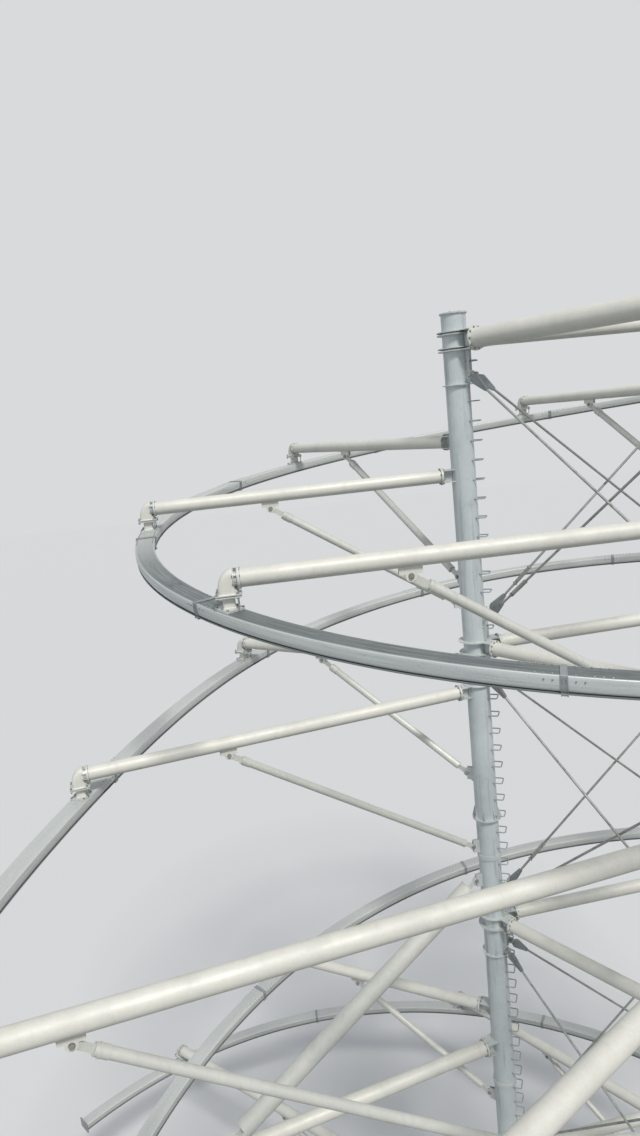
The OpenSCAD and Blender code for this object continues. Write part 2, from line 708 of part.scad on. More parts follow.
module step_iron() {
    r = step_bar / 2;
    out = column_r + step_out;
    inner = step_w / 2 - step_bar;
    root = sqrt(column_r * column_r - inner * inner) + seat;
    for (s = [-1, 1]) translate([root, s * (step_w / 2 - r), 0]) rotate([0, 90, 0])
        cylinder(r = r, h = out - root - r, $fn = 6);
    translate([out - r, -step_w / 2, 0]) rotate([-90, 0, 0]) cylinder(r = r, h = step_w, $fn = 6);
}

module step_irons() {
    color([0.50, 0.54, 0.55]) for (z = STEPS) translate([0, 0, z]) rotate([0, 0, tower_turn]) step_iron();
}

column(0);  // column_1
column(1);  // column_2
column(2);  // column_3
base_plates();
column_caps();
column_rings();
joints_column(0);  // joints_column_1
joints_column(1);  // joints_column_2
joints_column(2);  // joints_column_3
ring_beams(1);  // ring_beams_1
ring_beams(2);  // ring_beams_2
ring_beams(3);  // ring_beams_3
ring_beams(4);  // ring_beams_4
rods_face(0);  // rods_face_1
rods_face(1);  // rods_face_2
rods_face(2);  // rods_face_3
brackets_column(0);  // brackets_column_1
brackets_column(1);  // brackets_column_2
brackets_column(2);  // brackets_column_3
arms_turn(1);  // arms_turn_1
arms_turn(2);  // arms_turn_2
arms_turn(3);  // arms_turn_3
arms_turn(4);  // arms_turn_4
struts_turn(1);  // struts_turn_1
struts_turn(2);  // struts_turn_2
struts_turn(3);  // struts_turn_3
struts_turn(4);  // struts_turn_4
hangers_turn(1);  // hangers_turn_1
hangers_turn(2);  // hangers_turn_2
hangers_turn(3);  // hangers_turn_3
hangers_turn(4);  // hangers_turn_4
rail_turn(1);  // rail_turn_1
rail_turn(2);  // rail_turn_2
rail_turn(3);  // rail_turn_3
rail_turn(4);  // rail_turn_4
splice_bands(1);  // splice_bands_1
splice_bands(2);  // splice_bands_2
splice_bands(3);  // splice_bands_3
splice_bands(4);  // splice_bands_4
rail_end_stops();
step_irons();
raker();
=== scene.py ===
"""Looks of a spiral suspended-rail ride tower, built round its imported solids.

The tubes and plates keep their solids and get galvanised finishes. The rail, its splice collars,
the hangers and the step irons are drawn again as smooth surfaces. Bolts, pins, weld beads, webs,
lug rings, strut sleeves, forks, turnbuckles and anchor nuts are added. Metres, +Z up.
"""

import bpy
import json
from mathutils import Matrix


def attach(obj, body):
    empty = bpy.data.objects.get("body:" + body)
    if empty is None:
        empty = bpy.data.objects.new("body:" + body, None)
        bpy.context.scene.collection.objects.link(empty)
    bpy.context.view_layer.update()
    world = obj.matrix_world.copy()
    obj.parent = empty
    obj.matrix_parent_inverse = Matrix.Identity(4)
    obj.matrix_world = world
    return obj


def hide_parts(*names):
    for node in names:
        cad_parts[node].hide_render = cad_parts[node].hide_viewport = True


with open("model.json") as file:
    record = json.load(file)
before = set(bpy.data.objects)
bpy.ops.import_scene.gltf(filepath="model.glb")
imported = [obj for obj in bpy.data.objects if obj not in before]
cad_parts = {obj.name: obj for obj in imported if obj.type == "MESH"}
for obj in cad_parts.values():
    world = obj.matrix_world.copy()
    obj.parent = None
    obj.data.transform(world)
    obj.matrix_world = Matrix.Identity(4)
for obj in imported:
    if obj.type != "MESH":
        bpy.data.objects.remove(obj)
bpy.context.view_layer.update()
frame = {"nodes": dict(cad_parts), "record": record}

import json
import logging
import math
from dataclasses import dataclass
from enum import Enum
from typing import Any, Iterable, Iterator

import bpy
import numpy as np
from mathutils import Matrix

LOG = logging.getLogger("tower")
Array = np.ndarray
Triple = tuple[float, float, float]
Colour = Triple
Tube = tuple[Array, float, float, float]
X = np.array([1.0, 0.0, 0.0])
Y = np.array([0.0, 1.0, 0.0])
Z = np.array([0.0, 0.0, 1.0])


# Places and sizes


def smooth(x: Array | float) -> Array:
    """Smooth step from 0 to 1: u * u * (3 - 2 u), with u held between 0 and 1."""
    u = np.clip(x, 0.0, 1.0)
    return u * u * (3.0 - 2.0 * u)


def polar(radius: Array | float, degrees: Array | float) -> Array:
    """Point in plan at a radius and an angle, as [..., x, y]."""
    a = np.radians(degrees)
    return np.stack([radius * np.cos(a), radius * np.sin(a)], axis=-1)


def unit(v: Array) -> Array:
    """Vectors in the last axis, brought to length 1."""
    return v / np.linalg.norm(v, axis=-1, keepdims=True)


def framed(along: Array, side: Array, origin: Array) -> Array:
    """4 x 4 frame at a point, +X along one direction and +Y along another one square to it."""
    m = np.eye(4)
    m[:3, 0], m[:3, 1], m[:3, 2], m[:3, 3] = along, side, np.cross(along, side), origin
    return m


def level_frame(u: Array, origin: Array) -> Array:
    """4 x 4 frame with +X along a direction in plan and +Z up."""
    return framed([u[0], u[1], 0.0], [-u[1], u[0], 0.0], origin)


@dataclass(frozen=True)
class Tower:
    """The tower's named sizes, as in the part's source, in metres and degrees."""

    side: float = 4.9
    turn: float = -21.0
    bay: float = 4.985
    top_bay: float = 4.825
    bays: int = 4
    column_r: float = 0.1885
    column_over: float = 0.4
    base_t: float = 0.03
    anchor_r: float = 0.33
    anchors: int = 8
    plate: float = 0.014
    beam_d: float = 0.219
    top_beam_d: float = 0.299
    beam_reach: float = 0.4
    flange_lip: float = 0.032
    bolt_out: float = 0.0165
    rod_shift: float = 0.03
    lug_rise: float = 0.52
    pin_reach: float = 0.29

    @property
    def columns(self) -> Array:
        """Column centres in plan, three rows of x and y."""
        return np.array([[0.0, 0.0], *(polar(self.side, self.turn + a) for a in (-30, 30))])

    @property
    def top(self) -> float:
        """Height of the columns' upper ends."""
        return self.level(self.bays) + self.column_over

    def level(self, k: int) -> float:
        """Height of ring level k over the ground."""
        last = self.top_bay if k == self.bays else 0.0
        return self.base_t + self.bay * min(k, self.bays - 1) + last

    def faces(self) -> Iterator[tuple[Array, Array]]:
        """Of each face: its first column's centre, and the direction to its second column."""
        for i, j in ((0, 1), (1, 2), (2, 0)):
            yield self.columns[i], (self.columns[j] - self.columns[i]) / self.side

    def beams(self) -> Iterator[tuple[Array, Array, float]]:
        """Of each ring beam: its first column's axis at its level, its direction, its diameter."""
        for k in range(1, self.bays + 1):
            for face, (p, u) in enumerate(self.faces()):
                wide = face == 0 and k == self.bays
                yield np.append(p, self.level(k)), u, self.top_beam_d if wide else self.beam_d


TOWER = Tower()


@dataclass(frozen=True)
class RailPath:
    """The winding path of the rail. Its parameter t counts turns from the tower's back."""

    start: float = -0.275
    end: float = 3.12
    width: float = 0.27
    height: float = 0.17
    pitch: float = 0.0985
    phase: float = 0.3535
    clear: float = 0.012
    swell: float = 1.4
    draw: float = 2.2
    bulge: float = 3.2
    bulge_at: float = 223.0
    bulge_from: float = 0.9
    bulge_to: float = 1.6
    bulge_ease: float = 0.3
    even: float = 0.09
    metres: float = 50.0

    KEYS = np.array([[0.35, 1.3, -0.15, 6.25], [1.1, 1.825, -1.8, 7.4],
                     [2.1, 1.675, -4.15, 8.45], [3.1, -3.125, -2.7, 9.5]])
    HEIGHTS = np.array([[-0.4, 19.75], [0, 18.35], [0.25, 17.5], [0.5, 16.45], [0.75, 15.5],
                        [1, 15.0], [1.25, 13.9], [1.5, 12.35], [2, 8.55], [2.25, 6.95],
                        [2.5, 5.2], [3, 2.65], [3.25, 2.25]])

    def blend(self, t: Array, k: int) -> Array:
        """Share of the way from key turn k to the next one."""
        return smooth((t - self.KEYS[k, 0]) / (self.KEYS[k + 1, 0] - self.KEYS[k, 0]))

    def xy(self, t: Array | float) -> Array:
        """Plan of the rail's middle: a circle whose centre and radius change from turn to turn,
        swollen to the right, drawn in at the front and bulging at the second turn's left front.

        Args:
            t: turns.
        Returns:
            Points as [..., x, y].
        """
        t = np.asarray(t, float)
        a = 90.0 + 360.0 * t
        c, s = np.cos(np.radians(a)), np.sin(np.radians(a))
        steps = np.diff(self.KEYS[:, 1:], axis=0)
        v = self.KEYS[0, 1:] + sum(self.blend(t, k)[..., None] * steps[k] for k in range(3))
        m = self.blend(t, 0)
        out = smooth((t - self.bulge_from) / self.bulge_ease)
        out = self.bulge * out * (1 - smooth((t - self.bulge_to) / self.bulge_ease))
        out = out * np.maximum(np.cos(np.radians(a - self.bulge_at)), 0.0) ** 4
        x = v[..., 0] + v[..., 2] * c + self.swell * (1 - m) * ((1 + c) / 2) ** 3
        y = v[..., 1] + v[..., 2] * s + self.draw * m * ((1 - s) / 2) ** 3
        return np.stack([x, y], -1) + polar(out, self.bulge_at)

    def point(self, t: Array | float) -> Array:
        """Middle of the rail's top at t; its height is the mean of nine values round t."""
        t = np.asarray(t, float)
        steps = t[..., None] + self.even * np.arange(-4, 5) / 4
        z = np.interp(steps, self.HEIGHTS[:, 0], self.HEIGHTS[:, 1]).mean(-1)
        return np.concatenate([self.xy(t), z[..., None]], -1)

    def outward(self, t: Array | float) -> Array:
        """Level unit vector across the rail, away from the tower: the heading turned right."""
        d = unit(self.xy(np.asarray(t) + 0.002) - self.xy(np.asarray(t) - 0.002))
        return np.stack([d[..., 1], -d[..., 0], np.zeros(d.shape[:-1])], -1)

    def splices(self) -> Array:
        """Turns at which the rail is spliced, each kept off the hangers."""
        marks = []
        for k in range(-6, 29):
            t = k * self.pitch + self.phase
            near = [a.t for a in ARMS if abs(a.t - t) < self.clear]
            t = near[0] + math.copysign(self.clear, t - near[0]) if near else t
            if self.start + 0.02 < t < self.end - 0.03:
                marks.append(t)
        return np.array(marks)


PATH = RailPath()


@dataclass(frozen=True)
class Arm:
    """One cantilever arm with its strut and hanger, named by its place on the rail."""

    t: float
    column: int
    turn: int
    share: float = 0.62

    rise = 0.33
    reach = 0.36
    hood_back = 0.125
    pin_lift = 0.095
    pin_out = 0.11
    foot_half = 0.135
    slope = 0.66
    foot_clear = 0.56
    thin, thick, thick_from = 0.203, 0.245, 6.6

    @property
    def chord(self) -> Array:
        """Both ends of the straight piece of rail under the hanger."""
        pace = np.linalg.norm(PATH.xy(self.t + 0.001) - PATH.xy(self.t - 0.001)) / 0.002
        return PATH.point(np.array([-1.0, 1.0]) * self.foot_half / pace + self.t)

    @property
    def seat(self) -> Array:
        """Middle of the foot plate's seat on the rail."""
        return self.chord.mean(0)

    @property
    def length(self) -> float:
        """Distance in plan from the column's centre to the rail's middle."""
        return float(np.linalg.norm(self.seat[:2] - TOWER.columns[self.column]))

    @property
    def d(self) -> float:
        """The tube's diameter."""
        return self.thick if self.length > self.thick_from else self.thin

    @property
    def basis(self) -> Array:
        """4 x 4 matrix of the arm's frame: +X along it, origin on the column's axis."""
        root = TOWER.columns[self.column]
        u = (self.seat[:2] - root) / self.length
        return level_frame(u, [*root, self.seat[2] + self.rise])

    @property
    def strut(self) -> Array:
        """The strut's lower and upper pin as rows of x and z in the arm's frame."""
        x1, z1 = self.length * self.share, -self.d / 2 - self.pin_lift
        x0 = TOWER.column_r + self.pin_out
        room = self.seat[2] + self.rise + z1 - TOWER.base_t - self.foot_clear
        return np.array([[x0, z1 - min((x1 - x0) * self.slope, room)], [x1, z1]])


ARMS = tuple(Arm(*row) for row in (
    (-0.25, 2, 1), (-0.14, 2, 1), (-0.027, 2, 1), (0.111, 0, 1), (0.255, 0, 1),
    (0.365, 1, 1, 0.7), (0.51, 1, 1), (0.625, 1, 1), (0.72, 2, 1), (0.82, 2, 1),
    (0.925, 2, 2), (1.147, 0, 2), (1.241, 0, 2, 0.66), (1.325, 1, 2, 0.82), (1.42, 1, 2),
    (1.5, 1, 2), (1.58, 1, 2, 0.74), (1.66, 1, 2), (1.735, 2, 2), (1.805, 2, 2),
    (1.905, 2, 3), (2.118, 0, 3), (2.22, 0, 3), (2.325, 1, 3, 0.74), (2.42, 1, 3),
    (2.5, 1, 3), (2.58, 1, 3), (2.66, 1, 3), (2.745, 2, 3), (2.83, 2, 3),
    (2.95, 2, 4), (3.075, 0, 4),
))


# Surfaces


@dataclass
class Surface:
    """Vertices with faces in groups of one corner count, and a UV for each vertex if it has one."""

    verts: Array
    faces: list[Array]
    uv: Array | None = None

    def volume(self) -> float:
        """Signed volume: the sum over each face's fan of triangles of a . (b x c) / 6."""
        total = 0.0
        for group in self.faces:
            p = self.verts[group]
            for i in range(1, group.shape[1] - 1):
                across = np.cross(p[:, i], p[:, i + 1])
                total += float(np.einsum("ij,ij->i", p[:, 0], across).sum()) / 6
        return total

    def outward(self) -> "Surface":
        """The same surface with its faces turned outwards."""
        if self.volume() < 0:
            self.faces = [group[:, ::-1] for group in self.faces]
        return self

    def placed(self, frames: Array) -> "Surface":
        """Copies of the surface, one for each 4 x 4 frame."""
        n, k = len(self.verts), len(frames)
        verts = np.einsum("kij,nj->kni", frames[:, :3, :3], self.verts) + frames[:, None, :3, 3]
        shift = (np.arange(k) * n)[:, None, None]
        faces = [(group[None] + shift).reshape(-1, group.shape[1]) for group in self.faces]
        return Surface(verts.reshape(-1, 3), faces)


def joined(parts: Iterable[Surface]) -> Surface:
    """Several surfaces as one, without their UVs."""
    parts = list(parts)
    shifts = np.cumsum([0] + [len(p.verts) for p in parts[:-1]])
    faces = [group + s for p, s in zip(parts, shifts) for group in p.faces]
    return Surface(np.concatenate([p.verts for p in parts]), faces)


def lofted(points: Array, uv: Array | None = None, loop: bool = False) -> Surface:
    """Closed shell through rings of points: quads between neighbouring rings.

    Args:
        points: [ring, point on the ring, 3]; each ring is a closed outline.
        uv: the same layout with two values, if the piece has a UV.
        loop: the last ring joins the first one; otherwise both ends get a flat cap.
    Returns:
        The shell, with its faces outwards.
    """
    m, n = points.shape[:2]
    i, j = np.arange(m if loop else m - 1)[:, None], np.arange(n)[None]
    k, l = (i + 1) % m, (j + 1) % n
    faces = [np.stack([i * n + j, i * n + l, k * n + l, k * n + j], -1).reshape(-1, 4)]
    if not loop:
        faces += [np.arange(n)[None, ::-1], (m - 1) * n + np.arange(n)[None]]
    uv = None if uv is None else uv.reshape(-1, 2)
    return Surface(points.reshape(-1, 3), faces, uv).outward()


def stacked(outlines: Array, heights: Array) -> Surface:
    """A shell through outlines in plan, [ring, point, 2], one at each height."""
    z = np.broadcast_to(np.array(heights)[:, None, None], (*outlines.shape[:2], 1))
    return lofted(np.concatenate([outlines, z], -1))


def turned(profile: Iterable[tuple[float, float]], sides: int) -> Surface:
    """A profile of (radius, height) pairs turned round +Z: x = r cos a, y = r sin a."""
    p = np.array(list(profile), float)
    a = 2 * np.pi * (np.arange(sides) + 0.5) / sides
    ring = np.stack([np.cos(a), np.sin(a)], -1)
    return stacked(p[:, None, :1] * ring[None], p[:, 1])


def drum(radius: float, low: float, high: float, sides: int, edge: float = 0.0) -> Surface:
    """A round or many-sided block round +Z between two heights, its edges broken by edge."""
    if not edge:
        return turned([(radius, low), (radius, high)], sides)
    return turned([(radius - edge, low), (radius, low + edge), (radius, high - edge),
                   (radius - edge, high)], sides)


def hooped(r: Array, z: Array, sides: int) -> Surface:
    """A closed section of radii and heights, carried once round +Z."""
    a = 2 * np.pi * np.arange(sides)[:, None] / sides
    return lofted(np.stack([r * np.cos(a), r * np.sin(a), z * np.ones_like(a)], -1), loop=True)


def bead(radius: float, thick: float, sides: int = 28) -> Surface:
    """A ring round +Z with a round section: a torus of both angles, as a weld bead lies."""
    b = 2 * np.pi * np.arange(6) / 6
    return hooped(radius + thick * np.cos(b), thick * np.sin(b), sides)


def squared(half_u: Array | float, half_w: Array | float, power: float) -> Array:
    """Outlines of rounded rectangles: |u / half_u|^power + |w / half_w|^power = 1."""
    a = 2 * np.pi * (np.arange(24) + 0.5) / 24
    ring = np.stack([np.sign(c) * np.abs(c) ** (2 / power) for c in (np.cos(a), np.sin(a))], -1)
    return np.stack(np.broadcast_arrays(half_u, half_w), -1)[..., None, :] * ring


def slab(low: tuple[float, float, float], high: tuple[float, float, float]) -> Surface:
    """A plate between two corners: a rounded rectangle at four heights, drawn in by a small
    chamfer at the lowest and the highest one."""
    a, b, c = np.array(low), np.array(high), 0.002
    half = (b - a)[:2, None] / 2 - np.array([c, 0.0, 0.0, c])
    return stacked(squared(*half, 14.0) + (a + b)[:2] / 2, [a[2], a[2] + c, b[2] - c, b[2]])


def frames_at(origins: Array, axes: Array) -> Array:
    """4 x 4 frames at some points whose +Z lies along the given directions."""
    w = unit(axes)
    u = unit(np.cross(np.where(np.abs(w[:, 2:]) > 0.9, X, Z), w))
    m = np.tile(np.eye(4), (len(w), 1, 1))
    m[:, :3, 0], m[:, :3, 1], m[:, :3, 2], m[:, :3, 3] = u, np.cross(w, u), w, origins
    return m


def piped(line: Array, radius: float, sides: int = 10) -> Surface:
    """A round bar along a line: a circle set square to the line at each of its points."""
    m = frames_at(line, np.gradient(line, axis=0))[:, None]
    a = (2 * np.pi * np.arange(sides) / sides)[None, :, None]
    return lofted(line[:, None] - radius * (np.cos(a) * m[..., :3, 0] + np.sin(a) * m[..., :3, 1]))


def raised(plan: Array, height: Any) -> Array:
    """Points in plan with heights added."""
    return np.column_stack([plan, np.broadcast_to(height, len(plan))])


@dataclass
class Spots:
    """Places for copies of a small shape: points, and the direction of +Z at each."""

    points: Array
    axes: Array

    @staticmethod
    def along(points: Array, axis: Array) -> "Spots":
        """Points that share one direction."""
        points = np.atleast_2d(np.asarray(points, float))
        return Spots(points, np.tile(axis, (len(points), 1)))

    @staticmethod
    def circle(radius: float, count: int, x: float, face: float) -> "Spots":
        """Points on a circle across +X at x, the first half a pitch off the vertical.

        Args:
            radius: of the circle.
            count: of the points.
            x: where the circle is.
            face: +1 or -1, the way along X that they point.
        Returns:
            The points and directions.
        """
        a = 2 * np.pi * (np.arange(count) + 0.5) / count
        ring = np.stack([np.full(count, x), radius * np.sin(a), radius * np.cos(a)], -1)
        return Spots.along(ring, face * X)

    @staticmethod
    def paired(pairs: list[tuple[Array, Array]]) -> "Spots":
        """A list of points with their directions, as one table."""
        return Spots(np.array([p for p, _ in pairs]), np.array([a for _, a in pairs]))

    @staticmethod
    def gathered(parts: Iterable["Spots"]) -> "Spots":
        """Several tables of spots as one."""
        rows = [(p.points, p.axes) for p in parts]
        return Spots(np.concatenate([p for p, _ in rows]), np.concatenate([a for _, a in rows]))

    def carried(self, basis: Array) -> "Spots":
        """Spots in a 4 x 4 frame, given in the tower's frame."""
        turn = basis[:3, :3].T
        return Spots(self.points @ turn + basis[:3, 3], self.axes @ turn)

    def frames(self) -> Array:
        """A 4 x 4 frame for each spot."""
        return frames_at(self.points, self.axes)


def hex_head(flat: float, height: float) -> Surface:
    """A hexagon head with its upper edge broken, on a round washer."""
    r = flat / math.sqrt(3)
    head = turned([(r, flat * 0.1), (r, height * 0.86), (r * 0.86, height)], 6)
    return joined([drum(r * 1.18, 0, flat * 0.12, 12), head])


def hex_nut(flat: float, height: float, tail: float) -> Surface:
    """A hexagon nut on a washer, with the end of its thread standing out by tail."""
    thread = turned([(flat * 0.32, height * 0.5), (flat * 0.32, height + tail * 0.9),
                     (flat * 0.26, height + tail)], 8)
    return joined([hex_head(flat, height), thread])


def stud(radius: float, length: float, point: float = 0.0) -> Surface:
    """A round bar up +Z from 0, with a shorter taper at its upper end if it has a point."""
    tip = [(radius * 0.8, length + point)] if point else []
    return turned([(radius, 0), (radius, length), *tip], 8)


# Finishes


def srgb(red: float, green: float, blue: float) -> tuple[float, float, float, float]:
    """A colour given as 0 to 255 in the way that screens write it, as linear light with alpha."""
    v = [c / 255 for c in (red, green, blue)]
    return (*(c / 12.92 if c <= 0.04045 else ((c + 0.055) / 1.055) ** 2.4 for c in v), 1.0)


class Value:
    """One shader socket. Arithmetic on it adds Math nodes."""

    def __init__(self, graph: "Graph", socket: bpy.types.NodeSocket) -> None:
        """Keeps the graph and the socket."""
        self.graph = graph
        self.socket = socket

    def math(self, operation: str, other: "Value | float", flip: bool = False) -> "Value":
        """The result of one Math node.

        Args:
            operation: its operation.
            other: the second operand.
            flip: puts the second operand first.
        Returns:
            The node's output.
        """
        pair = (other, self) if flip else (self, other)
        return self.graph.value("Math", {"operation": operation}, {0: pair[0], 1: pair[1]})

    def __add__(self, other: "Value | float") -> "Value":
        """Sum."""
        return self.math("ADD", other)

    def __sub__(self, other: "Value | float") -> "Value":
        """Difference."""
        return self.math("SUBTRACT", other)

    def __rsub__(self, other: float) -> "Value":
        """Difference with a number first."""
        return self.math("SUBTRACT", other, flip=True)

    def __mul__(self, other: "Value | float") -> "Value":
        """Product."""
        return self.math("MULTIPLY", other)

    __radd__ = __add__
    __rmul__ = __mul__

    def step(self, low: float, high: float) -> "Value":
        """Smooth step of this value from low to high."""
        return self.graph.value("MapRange", {"interpolation_type": "SMOOTHSTEP"},
                                {0: self, 1: low, 2: high, 3: 0.0, 4: 1.0})

    def within(self, rise: tuple[float, float], fall: tuple[float, float]) -> "Value":
        """1 between two smooth steps, and 0 outside them."""
        return self.step(*rise) * (1.0 - self.step(*fall))


@dataclass(frozen=True)
class Layer:
    """A soft noise pattern, cut to 0 below its low value and to 1 above its high one."""

    scale: float
    detail: float
    rough: float
    low: float
    high: float


class Graph:
    """The node graph of a material or a world, with one method that adds any node."""

    def __init__(self, owner: bpy.types.Material | bpy.types.World) -> None:
        """Starts the graph that the material or world comes with."""
        owner.use_nodes = True
        self.owner = owner
        self.tree = owner.node_tree
        self.shader = self.tree.nodes.get("Principled BSDF")

    def node(self, kind: str, settings: dict[str, Any] | None = None,
             values: dict[Any, Any] | None = None) -> bpy.types.Node:
        """Adds a node.

        Args:
            kind: the shader node's type without its common prefix.
            settings: its properties, set first.
            values: its sockets by name or number, each a number, a colour or a Value.
        Returns:
            The node.
        """
        node = self.tree.nodes.new("ShaderNode" + kind)
        for key, setting in (settings or {}).items():
            setattr(node, key, setting)
        for key, value in (values or {}).items():
            self.put(node, key, value)
        return node

    def put(self, node: bpy.types.Node, key: int | str, value: Any) -> None:
        """Links a Value to a node's socket, or sets the socket to a number or a colour."""
        if isinstance(value, Value):
            self.tree.links.new(value.socket, node.inputs[key])
        else:
            node.inputs[key].default_value = value

    def value(self, kind: str, settings: dict[str, Any] | None = None,
              values: dict[Any, Any] | None = None, output: int | str = 0) -> Value:
        """Adds a node as node() does, and returns one of its outputs."""
        return Value(self, self.node(kind, settings, values).outputs[output])

    def place(self) -> Value:
        """The point on the object, in metres."""
        return self.value("TexCoord", output="Object")

    def noise(self, vector: Value, layer: Layer, stretch: Triple | None = None) -> Value:
        """A layer's noise at a point, which is first multiplied by stretch if that is given."""
        if stretch:
            vector = self.value("Mapping", None, {"Vector": vector, "Scale": stretch})
        soft = self.value("TexNoise", None, {"Vector": vector, "Scale": layer.scale,
                                             "Detail": layer.detail, "Roughness": layer.rough})
        return soft.step(layer.low, layer.high)

    def cells(self, vector: Value, scale: float) -> Value:
        """A random number for each cell of a Voronoi pattern, as zinc crystals have."""
        colour = self.value("TexVoronoi", None, {"Vector": vector, "Scale": scale}, "Color")
        return self.value("SeparateColor", None, {0: colour})

    def mix(self, share: Value | float, first: Any, second: Any) -> Value:
        """A colour between two colours, each a Value, a 0 to 255 colour or a linear one."""
        first, second = (srgb(*c) if isinstance(c, tuple) and len(c) == 3 else c
                         for c in (first, second))
        return self.value("Mix", {"data_type": "RGBA"}, {0: share, 6: first, 7: second}, 2)

    def seen(self) -> Value:
        """1 for what the camera sees, straight, mirrored or through glass, and 0 for soft light."""
        path = self.node("LightPath")
        rays = [Value(self, path.outputs[f"Is {kind} Ray"])
                for kind in ("Camera", "Glossy", "Transmission")]
        return (rays[0] + rays[1] + rays[2]).math("MINIMUM", 1.0)

    def part(self, vector: Value, axis: int) -> Value:
        """One component of a vector."""
        return self.value("SeparateXYZ", None, {0: vector}, axis)

    def facing_up(self) -> Value:
        """The upward part of the surface's own direction, from -1 to 1."""
        return self.part(self.value("NewGeometry", output="Normal"), 2)

    def finish(self, colour: Value, rough: Value, metal: float, height: Value,
               depth: float) -> bpy.types.Material:
        """Links the surface shader and returns the material.

        Args:
            colour: base colour.
            rough: roughness.
            metal: how metallic it is.
            height: height of the surface's relief, 0 to 1.
            depth: that relief in metres.
        Returns:
            The material.
        """
        bump = self.value("Bump", None, {"Strength": 0.3, "Distance": depth, "Height": height})
        for key, value in (("Base Color", colour), ("Roughness", rough), ("Normal", bump),
                           ("Metallic", metal)):
            self.put(self.shader, key, value)
        return self.owner


@dataclass(frozen=True)
class Galvanised:
    """Weathered hot-dip zinc: crystals, clouds, rain runs, grime, painted shade underneath and dust
    on top.
    """

    name: str
    pale: Colour
    deep: Colour
    grime_and_shade: Colour
    metal: float = 0.25
    rough: float = 0.5
    crystal: float = 45.0
    runs: float = 0.4
    blots: float = 0.18
    # under: how strongly painted shade darkens the surfaces that face down
    under: float = 0.4

    CLOUD = Layer(1.3, 3.0, 0.55, 0.36, 0.66)
    FINE = Layer(7.0, 5.0, 0.6, 0.36, 0.68)
    RUN = Layer(1.0, 4.0, 0.6, 0.52, 0.74)
    BLOT = Layer(3.1, 6.0, 0.62, 0.58, 0.76)
    SPECK = Layer(62.0, 2.0, 0.55, 0.68, 0.76)
    DUSTY = Layer(2.6, 4.0, 0.55, 0.45, 0.7)
    DUST = (188, 182, 164)

    def build(self) -> bpy.types.Material:
        """Mixes pale and deep zinc by clouds and crystals, then a darker tone by runs, blots,
        specks and painted shade underneath.
        """
        g = Graph(bpy.data.materials.new(self.name))
        p = g.place()
        layers = (self.CLOUD, self.FINE, self.BLOT, self.SPECK, self.DUSTY)
        cloud, fine, blot, speck, dusty = (g.noise(p, layer) for layer in layers)
        run = g.noise(p, self.RUN, (11.0, 11.0, 0.6))
        crystal, grain = g.cells(p, self.crystal), g.cells(p, self.crystal * 2.7)
        up = g.facing_up()
        # under is painted shade on the surfaces that face down; dust lies on those that face up
        under, dust = (0.0 - up).step(0.05, 0.9), up.step(0.55, 1.0) * dusty
        mixed = cloud * 0.4 + fine * 0.2 + crystal * 0.25 + grain * 0.15
        # one darker tone for grime from runs, blots and specks and for the painted shade underneath
        grime_and_shade_share = run * self.runs + blot * self.blots + under * self.under + speck * 0.2
        grime_and_shade_share = grime_and_shade_share.math("MINIMUM", 0.85)
        colour = g.mix(grime_and_shade_share, g.mix(mixed, self.pale, self.deep), self.grime_and_shade)
        colour = g.mix(dust * 0.2, colour, self.DUST)
        rough = self.rough + 0.14 * cloud - 0.14 * crystal + 0.14 * grime_and_shade_share + 0.1 * dust
        height = crystal * 0.3 + grain * 0.2 + fine * 0.35 + speck * 0.4
        return g.finish(colour, rough, self.metal, height, 0.0008)


